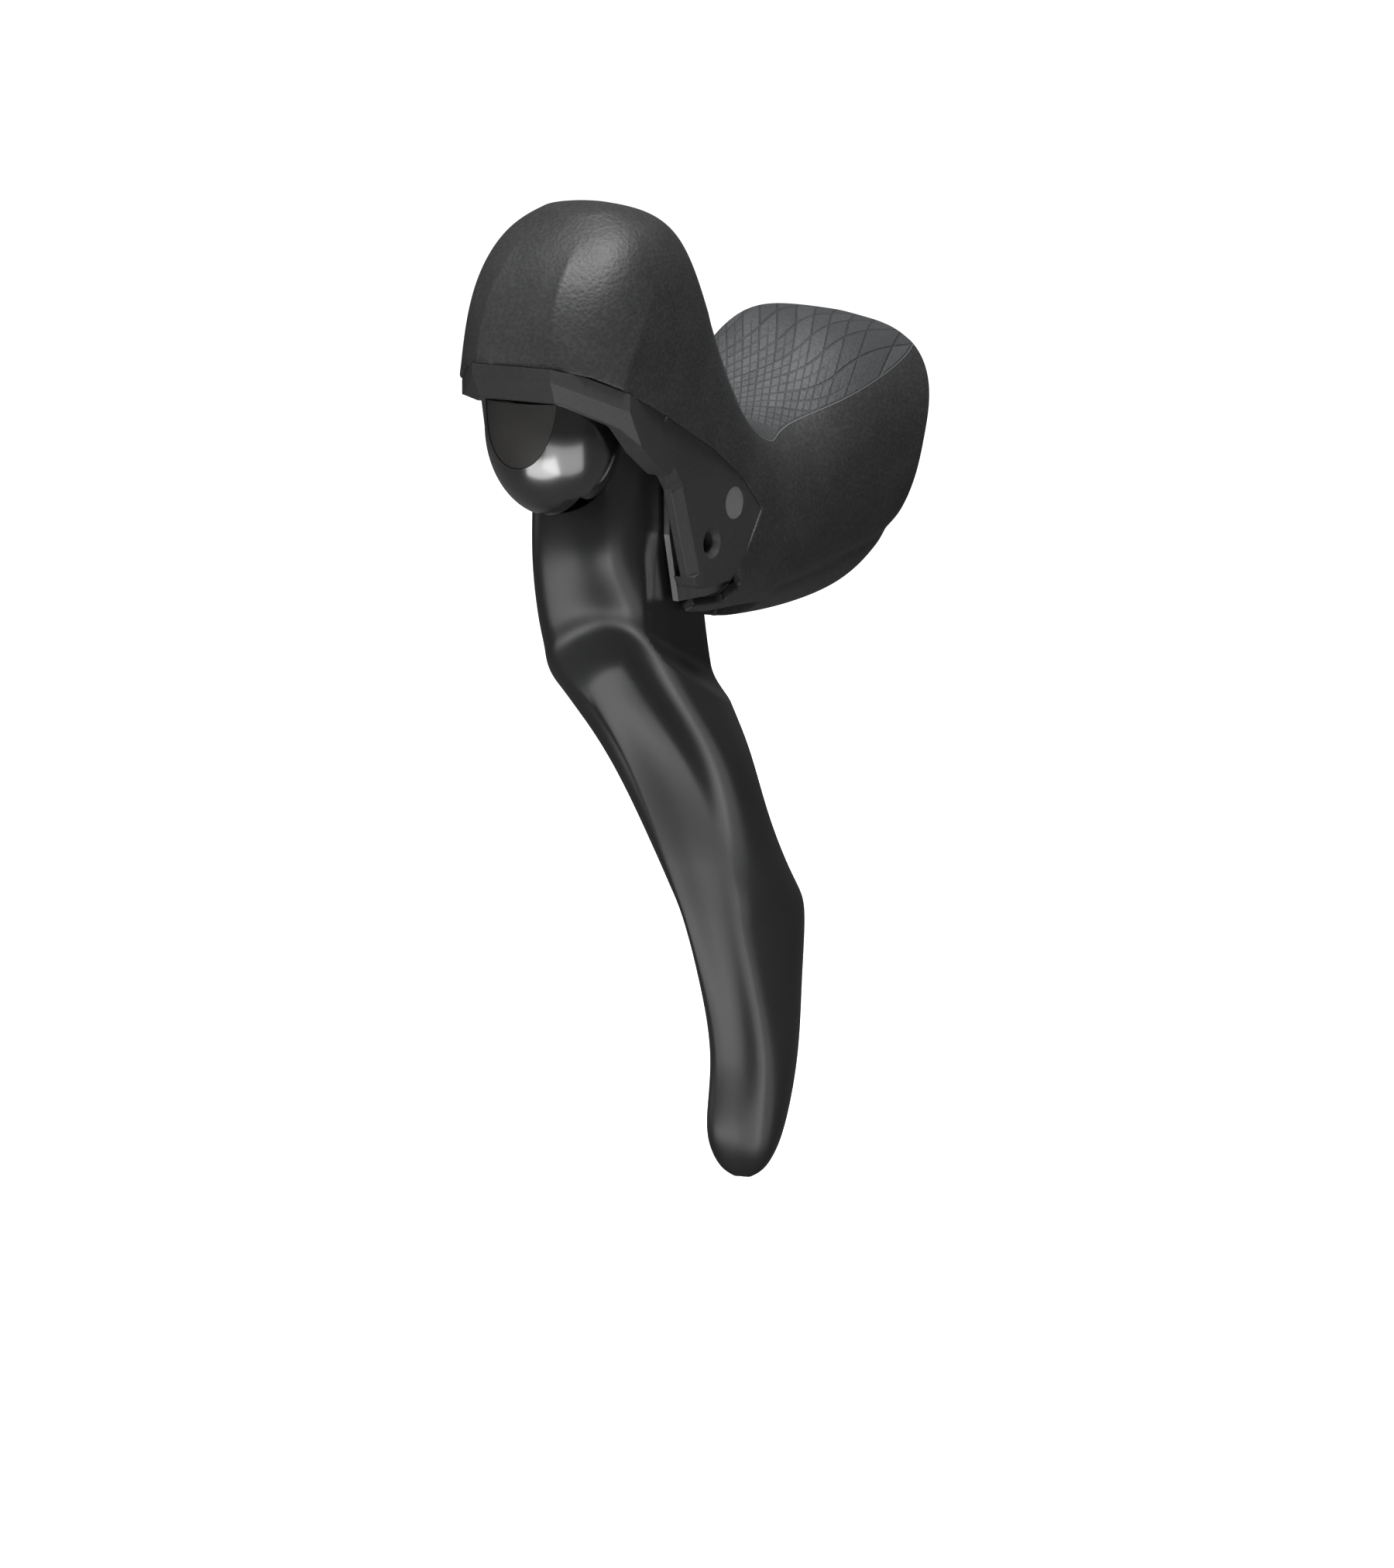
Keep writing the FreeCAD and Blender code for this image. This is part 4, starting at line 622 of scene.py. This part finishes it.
# The lever blade: forged alloy, anodised satin black. Its front face is dished for the fingers below
# a rounded shoulder, and a channel in its neck takes the link and the reach screw.
# Each level: its height, and its four corners in the top view.
BLADE_LEVELS = (
    (12.0, (-9.5, -96.0), (10.5, -93.6), (12.2, -84.0), (-12.2, -84.0)),
    (0.0, (-8.5, -98.6), (11.4, -94.0), (12.2, -72.0), (-12.2, -72.0)),
    (-12.0, (-8.3, -99.6), (11.2, -95.8), (11.6, -68.0), (-10.6, -68.0)),
    (-24.0, (-8.9, -97.4), (13.0, -90.6), (12.1, -67.5), (-9.6, -68.4)),
    (-37.5, (-7.3, -93.5), (17.2, -85.2), (13.6, -65.8), (-5.3, -68.2)),
    (-50.0, (-1.5, -88.1), (21.8, -80.1), (17.7, -63.9), (2.7, -67.5)),
    (-63.5, (4.9, -84.3), (24.4, -76.8), (21.4, -62.0), (8.7, -66.5)),
    (-76.0, (10.0, -82.1), (25.8, -76.1), (24.7, -57.3), (13.7, -62.5)),
    (-83.0, (12.6, -81.1), (26.5, -76.0), (25.9, -55.1), (15.7, -60.5)),
    (-95.0, (15.5, -79.6), (28.9, -75.4), (27.2, -58.5), (17.7, -63.0)),
    (-108.0, (17.4, -78.6), (30.7, -75.5), (28.6, -63.0), (19.2, -66.0)),
    (-119.0, (18.0, -79.9), (30.3, -76.0), (29.2, -68.1), (19.8, -70.2)),
    (-125.0, (18.9, -79.4), (29.3, -76.6), (28.5, -71.0), (20.8, -72.2)),
    (-128.2, (20.7, -78.1), (27.8, -76.4), (27.3, -73.4), (21.8, -74.2)),
    (-129.6, (22.9, -77.1), (25.9, -76.5), (25.8, -75.2), (23.2, -75.5)),
)
BLADE_CORNER = 0.12
BLADE_DOWN = 260
BLADE_AROUND = 160
# The crest of the shoulder, in the front view
SHOULDER = (
    (-9.4, -42.5), (-8.2, -38.0), (-6.2, -34.2), (-3.6, -31.2), (-0.4, -28.8), (3.2, -27.3), (7.2, -26.9),
    (10.8, -28.6), (13.6, -32.4), (16.2, -38.0), (19.2, -45.0), (22.4, -53.0), (24.6, -61.5), (26.0, -71.0),
    (27.2, -81.0), (28.6, -92.0), (30.0, -103.0), (30.6, -112.0), (30.2, -120.0),
)
BELOW_SHOULDER = ((30.0, -140.0), (-30.0, -140.0), (-30.0, -42.5))
DISH_DEPTH = 2.9
DISH_SHALLOWER = 0.72
DISH_WIDTH = 9.0
DISH_NARROWER = 2.0
SHOULDER_SWELL = 0.5
PIVOT = (-69.6, -5.5)
NECK_REAR = 12.1
NECK_FRONT = 13.3
NECK_SOFT = 0.8
NECK_THINNER = 0.7
BELOW_HOOD = 23.0
FULL_PULL = radians(24)
# The channel, as boxes along X, Y and Z, then the slope cut from the top, and the web below the boss
ROOM_CUTS = (
    ((-8.5, 8.5), (-80.5, 0.0), (-13.5, 60.0)),
    ((-8.5, 8.5), (-91.5, 0.0), (-2.5, 60.0)),
    ((-5.8, 5.8), (-80.5, 0.0), (-25.5, 60.0)),
)
TOP_CUT = ((-99.0, 12.5), (-87.5, 12.5), (-80.5, 1.3), (-60.0, 1.3), (-60.0, 60.0), (-160.0, 60.0),
           (-160.0, 12.5))
WEB = ((-4.0, 5.0), (-16.0, 3.0), (-16.0, -14.5), (1.5, -14.5), (6.0, -2.0))
COVER_X = -0.7
COVER_Y = -100.6
COVER_Z = 11.0
COVER_RADIUS = 12.5
COVER_DEPTH = 16.7
COVER_WALL = 1.7
COVER_TOP = 16.3
ABOVE_COVER = 9.0
COVER_REAR = -92.0
COVER_AROUND = 144
COVER_UP = 56
BOWL_END = 0.0005
SEAT_LAP = 0.04
BOSS_RADIUS = 6.5
BUSH_SEAT = 4.0
CHEEK = 12.2
WEB_HALF = 11.4


def blade_section(z, *corners):
    """One level of the blade: a closed curve with rounded corners, from the inner front corner on."""
    points = []
    for i, corner in enumerate(corners):
        for other in (corners[i - 1], corners[(i + 1) % 4]):
            points.append([a + BLADE_CORNER * (b - a) for a, b in zip(corner, other)])
        if i == 0:
            points.append([(a + b) / 2 for a, b in zip(corner, corners[1])])
    points = np.array(points + points[:1])
    places = np.concatenate(([0.0], np.cumsum(np.linalg.norm(np.diff(points, axis=0), axis=1))))
    ring = curve_through(places, points, np.linspace(0, places[-1], BLADE_AROUND + 1)[:-1], closed=True)
    return np.column_stack([ring, np.full(len(ring), z)])


blade_skin, _ = lofted(np.array([blade_section(*row) for row in BLADE_LEVELS]), BLADE_DOWN)

# The dish goes in behind the shoulder, and runs out towards the blade's inner edge
x, y, z = blade_skin[:, :, 0], blade_skin[:, :, 1], blade_skin[:, :, 2]
normal = outward_normals(blade_skin)
facing = smooth_step(-normal[:, :, 1], 0.1, 0.55)
left = x.min(axis=1, keepdims=True)
marks = np.array(SHOULDER)
shoulder = curve_through(np.arange(len(marks), dtype=float), marks, np.linspace(0, len(marks) - 1, 120))
shoulder = tuple(map(tuple, shoulder))
within = line_distance(x, z, shoulder) * np.where(inside(x, z, shoulder + BELOW_SHOULDER), 1, -1)
width = DISH_WIDTH - DISH_NARROWER * smooth_step(-z, 36.0, 70.0)
deep = DISH_DEPTH * (1 - DISH_SHALLOWER * smooth_step(-z, 42.0, 72.0)) * (1 - smooth_step(-z, 108.0, 124.0))
dish = deep * smooth_step(within / width, 0.0, 1.0) * facing
dish *= smooth_step(x - left, -1.0, 4.0)
swell = SHOULDER_SWELL * np.exp(-((within + 0.8) / 2.0) ** 2) * facing * smooth_step(z, -58.0, -38.0)
blade_skin = blade_skin - normal * (dish - swell)[:, :, None]

# The neck's cheeks are flat where they swing between the ears, and stay clear of the hood's slot
# up to a full pull
x, y, z = blade_skin[:, :, 0], blade_skin[:, :, 1], blade_skin[:, :, 2]
room = NECK_REAR + (NECK_FRONT - NECK_REAR) * smooth_step(-y, 86.5, 91.0) * smooth_step(-z, 4.0, 22.0)
swept = (z - PIVOT[1]) * cos(FULL_PULL) + (y - PIVOT[0]) * sin(FULL_PULL)
room += BELOW_HOOD * smooth_step(-swept, 27.0, 46.0) - NECK_THINNER * smooth_step(-z, 8.0, 15.0)
over = np.maximum(np.abs(x) - room + NECK_SOFT, 0)
x_kept = np.sign(x) * (np.abs(x) - over + NECK_SOFT * (1 - np.exp(-over / NECK_SOFT)))
blade_skin[:, :, 0] = x_kept
blade = ring_mesh(blade_skin, cap_first=True)


def add_block(mesh, x_span, y_span, z_span):
    """Adds a box to a mesh, from its spans in millimetres."""
    corners = [mesh.verts.new(Vector((x, y, z)) * MM) for x in x_span for y in y_span for z in z_span]
    for face in ((0, 1, 3, 2), (4, 6, 7, 5), (0, 4, 5, 1), (2, 3, 7, 6), (0, 2, 6, 4), (1, 5, 7, 3)):
        mesh.faces.new([corners[i] for i in face])


def add_bar(mesh, outline, x0, x1):
    """Adds a bar along X with an outline in the side view."""
    ends = [[mesh.verts.new(Vector((x, y, z)) * MM) for y, z in outline] for x in (x0, x1)]
    count = len(outline)
    for i in range(count):
        mesh.faces.new((ends[0][i - 1], ends[0][i], ends[1][i], ends[1][i - 1]))
    mesh.faces.new(ends[0])
    mesh.faces.new(list(reversed(ends[1])))


def round_outline(centre, radius, count=48):
    return [(centre[0] + radius * cos(2 * pi * i / count), centre[1] + radius * sin(2 * pi * i / count))
            for i in range(count)]


def tool(name, mesh):
    """An object that only shapes others."""
    bmesh.ops.recalc_face_normals(mesh, faces=mesh.faces)
    data = bpy.data.meshes.new(name)
    mesh.to_mesh(data)
    mesh.free()
    made = bpy.data.objects.new(name, data)
    bpy.context.scene.collection.objects.link(made)
    return made


def carve(piece, steps):
    """Joins tools to a piece or takes them away, and leaves a plain mesh."""
    for operation, helper in steps:
        cut = piece.modifiers.new(helper.name, "BOOLEAN")
        cut.operation = operation
        cut.object = helper
        cut.solver = "EXACT"
    bpy.context.view_layer.update()
    shaped = piece.evaluated_get(bpy.context.evaluated_depsgraph_get())
    data = bpy.data.meshes.new_from_object(shaped)
    piece.modifiers.clear()
    old, piece.data = piece.data, data
    bpy.data.meshes.remove(old)
    for _, helper in steps:
        bpy.data.objects.remove(helper)
    piece.data.shade_smooth()
    piece.data.set_sharp_from_angle(angle=SMOOTH_ANGLE)


BLADE_BLACK = grey(29, -0.02)
BLADE_SHEEN = grey(35, -0.02)
anodised, shader, place = new_finish("anodised_blade", Specular_IOR_Level=0.45, Coat_Roughness=0.28,
                                     Coat_Weight=0.08)
cloud = place.grain(20 * MM)
dust = place.grain(0.12 * MM, 4.0, 0.6)
feed(shader,
     Base_Color=(dust * 0.5 + cloud * 0.5).ramp(0.3, 0.7).blend(BLADE_BLACK, BLADE_SHEEN),
     Roughness=cloud * 0.08 + dust * 0.04 + 0.33,
     Normal=dust.bump(0.004 * MM, place.node("ShaderNodeBevel", {"samples": 6}, {"Radius": 0.4 * MM})))

blade_piece = as_piece("forged_blade", blade, "blade", ["lever_blade"], anodised)
boss = bmesh.new()
add_bar(boss, round_outline(PIVOT, BOSS_RADIUS), -CHEEK, CHEEK)
web = bmesh.new()
add_bar(web, [(PIVOT[0] + a, PIVOT[1] + b) for a, b in WEB], -WEB_HALF, WEB_HALF)
top = bmesh.new()
add_bar(top, TOP_CUT, -60.0, 60.0)
steps = [("DIFFERENCE", tool("top", top)), ("UNION", tool("boss", boss)), ("UNION", tool("web", web))]
for i, spans in enumerate(ROOM_CUTS):
    block = bmesh.new()
    add_block(block, *spans)
    steps.append(("DIFFERENCE", tool(f"room_{i}", block)))
hole = bmesh.new()
add_bar(hole, round_outline(PIVOT, BUSH_SEAT), -60.0, 60.0)
steps.append(("DIFFERENCE", tool("hole", hole)))


def bowl_point(turn, z, inset=0.0):
    """A point of the cover's form at a turn about its axis and a height."""
    drop = min(max((COVER_Z - z) / (COVER_DEPTH - inset), 0.0), 1.0)
    radius = (COVER_RADIUS - inset) * (1 - drop * drop) ** 0.5
    return np.array((COVER_X + radius * sin(turn), COVER_Y - radius * cos(turn), z))


def bowl_rings(inset, top):
    """Rings of the cover's form from its top down to its lowest point."""
    low = COVER_Z - (COVER_DEPTH - inset)
    heights = [top + (COVER_Z - top) * i / 6 for i in range(6)]
    heights += [COVER_Z - (COVER_Z - low) * sin(pi / 2 * i / COVER_UP) for i in range(COVER_UP)]
    heights.append(low + BOWL_END)
    return np.array([[bowl_point(2 * pi * k / COVER_AROUND, z, inset) for k in range(COVER_AROUND)]
                     for z in heights])


seat = ring_mesh(bowl_rings(-SEAT_LAP, COVER_TOP + ABOVE_COVER), cap_first=True)
steps.append(("DIFFERENCE", tool("seat", seat)))
carve(blade_piece, steps)


# The knuckle cover: a glossy bowl of moulded resin over the blade's top, with a bare matt plate
# let into its front.
PLATE_X = -1.2
PLATE_Z = 18.2
PLATE_HALF = 8.0
PLATE_TALL = 14.0
PLATE_SQUARE = 2.25
PLATE_THICK = 0.6
ABOVE_PLATE = 5.0
PLATE_SEAT = 0.62
PLATE_SUNK = 0.12
PLATE_GAP = 0.12
PLATE_EDGE = 0.12
NOTCH_HALF = 7.2
NOTCH_FRONT = -103.8
NOTCH_TOP = 6.0
IN_FRONT = -130.0
gloss, shader, place = new_finish("gloss_cover", Specular_IOR_Level=0.8, Coat_Weight=1.0,
                                  Coat_Roughness=0.16, Coat_IOR=1.8)
cloud = place.grain(6 * MM)
feed(shader,
     Base_Color=cloud.ramp(0.3, 0.7).blend(grey(12), grey(17)),
     Roughness=cloud * 0.05 + 0.2,
     Normal=place.grain(0.3 * MM).bump(0.003 * MM))
matt_plate, shader, place = new_finish("matt_plate", Specular_IOR_Level=0.3)
dust = place.grain(0.15 * MM, 3.0)
feed(shader,
     Base_Color=dust.ramp(0.3, 0.7).blend(grey(48, 0.04), grey(54, 0.04)),
     Roughness=dust * 0.1 + 0.5,
     Normal=dust.bump(0.006 * MM))


cover = ring_mesh(bowl_rings(0.0, COVER_TOP), cap_first=True)
cover_piece = as_piece("gloss_knuckle_cover", cover, "blade", ["knuckle_cover"], gloss)
hollow = ring_mesh(bowl_rings(COVER_WALL, COVER_TOP + ABOVE_COVER), cap_first=True)
rear = bmesh.new()
add_block(rear, (-40.0, 40.0), (COVER_REAR, 0.0), (-40.0, 40.0))
notch = bmesh.new()
add_block(notch, (-NOTCH_HALF, NOTCH_HALF), (NOTCH_FRONT, 0.0), (-40.0, NOTCH_TOP))


def plate_outline(grow, count=72):
    """The plate's half-oval edge in the front view, with squarer shoulders than an ellipse."""
    points = []
    for i in range(count):
        angle = 2 * pi * i / count
        c, s = cos(angle), sin(angle)
        x = (PLATE_HALF + grow) * abs(s) ** (2 / PLATE_SQUARE) * (1 if s > 0 else -1)
        z = (PLATE_TALL + grow) * abs(c) ** (2 / PLATE_SQUARE) * (1 if c > 0 else -1)
        points.append((PLATE_X + x, PLATE_Z + z))
    return points


def front_bar(outline, y0, y1):
    """A bar along Y with an outline in the front view."""
    mesh = bmesh.new()
    ends = [[mesh.verts.new(Vector((x, y, z)) * MM) for x, z in outline] for y in (y0, y1)]
    for i in range(len(outline)):
        mesh.faces.new((ends[0][i - 1], ends[0][i], ends[1][i], ends[1][i - 1]))
    mesh.faces.new(ends[0])
    mesh.faces.new(list(reversed(ends[1])))
    return mesh


window = tool("window", front_bar(plate_outline(0.0), IN_FRONT, COVER_Y))
core = tool("core", ring_mesh(bowl_rings(PLATE_SEAT, COVER_TOP + ABOVE_PLATE), cap_first=True))
carve(window, [("DIFFERENCE", core)])
carve(cover_piece, [("DIFFERENCE", tool("hollow", hollow)), ("DIFFERENCE", tool("rear", rear)),
                    ("DIFFERENCE", tool("notch", notch)), ("DIFFERENCE", window)])

plate = ring_mesh(bowl_rings(PLATE_SUNK, COVER_TOP - 0.1), cap_first=True)
plate_piece = as_piece("bare_plate", plate, "blade", ["name_plate"], matt_plate)
frame_bar = tool("frame_bar", front_bar(plate_outline(-PLATE_GAP), IN_FRONT, COVER_Y))
core = tool("core", ring_mesh(bowl_rings(PLATE_THICK, COVER_TOP + ABOVE_PLATE), cap_first=True))
carve(plate_piece, [("INTERSECT", frame_bar), ("DIFFERENCE", core)])
for piece in (cover_piece, plate_piece):
    edge = piece.modifiers.new("edge", "BEVEL")
    edge.width = PLATE_EDGE * MM
    edge.segments = 2
    edge.limit_method = "ANGLE"
    edge.angle_limit = radians(50)


# The studio: a pale floor well below the lever, a white surround, and soft boxes on both sides.
# The camera looks from the front and the outer side, a little from above.
AZIMUTH = radians(33.0)
ELEVATION = radians(10.0)
DISTANCE = 1.6
PIXELS_PER_METRE = 7200.0
PHOTO_SIZE = (1800, 2025)
RIM_FRONT = Vector((0.0, -0.115, 0.021))
RIM_FRONT_PIXEL = (661, 489)
FLOOR_Z = cad_box[0][2] - 0.028

back = Vector((sin(AZIMUTH) * cos(ELEVATION), -cos(AZIMUTH) * cos(ELEVATION), sin(ELEVATION)))
right = Vector((cos(AZIMUTH), sin(AZIMUTH), 0.0))
up = back.cross(right)
camera_data = bpy.data.cameras.new("camera")
camera = bpy.data.objects.new("camera", camera_data)
bpy.context.scene.collection.objects.link(camera)
side_shift = (RIM_FRONT_PIXEL[0] - PHOTO_SIZE[0] / 2) / PIXELS_PER_METRE
rise = (PHOTO_SIZE[1] / 2 - RIM_FRONT_PIXEL[1]) / PIXELS_PER_METRE
camera.location = RIM_FRONT + back * DISTANCE - right * side_shift - up * rise
camera.rotation_mode = "QUATERNION"
camera.rotation_quaternion = back.to_track_quat("Z", "Y")
camera_data.sensor_width = 36.0
camera_data.lens = PIXELS_PER_METRE * DISTANCE / PHOTO_SIZE[1] * camera_data.sensor_width
camera_data.clip_end = 20.0
bpy.context.scene.camera = camera

# The camera sees the floor almost white with the lever's shadow on it, and the lever sees it dim
white, shader, _ = new_finish("white_surround")
tree = shader.id_data
glow = tree.nodes.new("ShaderNodeEmission")
plain = tree.nodes.new("ShaderNodeBsdfDiffuse")
plain.inputs["Color"].default_value = (0.86, 0.86, 0.86, 1.0)
dim = tree.nodes.new("ShaderNodeBsdfDiffuse")
dim.inputs["Color"].default_value = (0.13, 0.13, 0.13, 1.0)
rays = tree.nodes.new("ShaderNodeLightPath")
mix = tree.nodes.new("ShaderNodeMixShader")
shadow = tree.nodes.new("ShaderNodeAddShader")
tree.links.new(rays.outputs["Is Camera Ray"], mix.inputs[0])
tree.links.new(dim.outputs[0], mix.inputs[1])
tree.links.new(shadow.outputs[0], mix.inputs[2])
glow.inputs["Strength"].default_value = 0.93
tree.links.new(plain.outputs[0], shadow.inputs[0])
tree.links.new(glow.outputs[0], shadow.inputs[1])
tree.links.new(mix.outputs[0], tree.nodes["Material Output"].inputs["Surface"])

floor_mesh = bmesh.new()
for corner in ((-3, -3), (3, -3), (3, 3), (-3, 3)):
    floor_mesh.verts.new((corner[0], corner[1], FLOOR_Z))
floor_mesh.faces.new(floor_mesh.verts)
floor_data = bpy.data.meshes.new("floor")
floor_mesh.to_mesh(floor_data)
floor = bpy.data.objects.new("floor", floor_data)
bpy.context.scene.collection.objects.link(floor)
floor_data.materials.append(white)

world = bpy.data.worlds.new("studio")
bpy.context.scene.world = world
world.use_nodes = True
tree = world.node_tree
sky = tree.nodes["Background"]
sky.inputs["Color"].default_value = (1.0, 1.0, 1.0, 1.0)
sky.inputs["Strength"].default_value = 0.13
seen = tree.nodes.new("ShaderNodeBackground")
rays = tree.nodes.new("ShaderNodeLightPath")
mix = tree.nodes.new("ShaderNodeMixShader")
tree.links.new(rays.outputs["Is Camera Ray"], mix.inputs[0])
tree.links.new(sky.outputs[0], mix.inputs[1])
tree.links.new(seen.outputs[0], mix.inputs[2])
seen.inputs["Color"].default_value = (1.0, 1.0, 1.0, 1.0)
tree.links.new(mix.outputs[0], tree.nodes["World Output"].inputs["Surface"])

TARGET = Vector((0.0, -0.07, -0.02))


def soft_box(name, azimuth, elevation, place, width, height, power):
    """A rectangular lamp that faces the lever, at a distance from it or at a place."""
    data = bpy.data.lights.new(name, "AREA")
    data.shape = "RECTANGLE"
    data.size = width
    data.size_y = height
    data.energy = power
    lamp = bpy.data.objects.new(name, data)
    a, e = radians(azimuth), radians(elevation)
    towards = Vector((sin(a) * cos(e), -cos(a) * cos(e), sin(e)))
    lamp.location = TARGET + towards * place if isinstance(place, float) else Vector(place)
    lamp.rotation_mode = "QUATERNION"
    lamp.rotation_quaternion = towards.to_track_quat("Z", "Y")
    bpy.context.scene.collection.objects.link(lamp)


soft_box("key", 38.0, 73.0, 1.0, 0.35, 0.3, 13.0)
soft_box("top", 60.0, 82.0, 0.9, 0.8, 0.6, 1.4)
soft_box("left", -60.0, 12.0, 1.0, 0.6, 0.9, 1.35)
soft_box("low", 52.0, -46.0, (0.122, -0.19, -0.148), 0.27, 0.22, 0.36)
soft_box("front", 15.0, -60.0, (0.02, -0.24, -0.148), 0.2, 0.14, 0.36)
bpy.context.scene.view_settings.view_transform = "Standard"
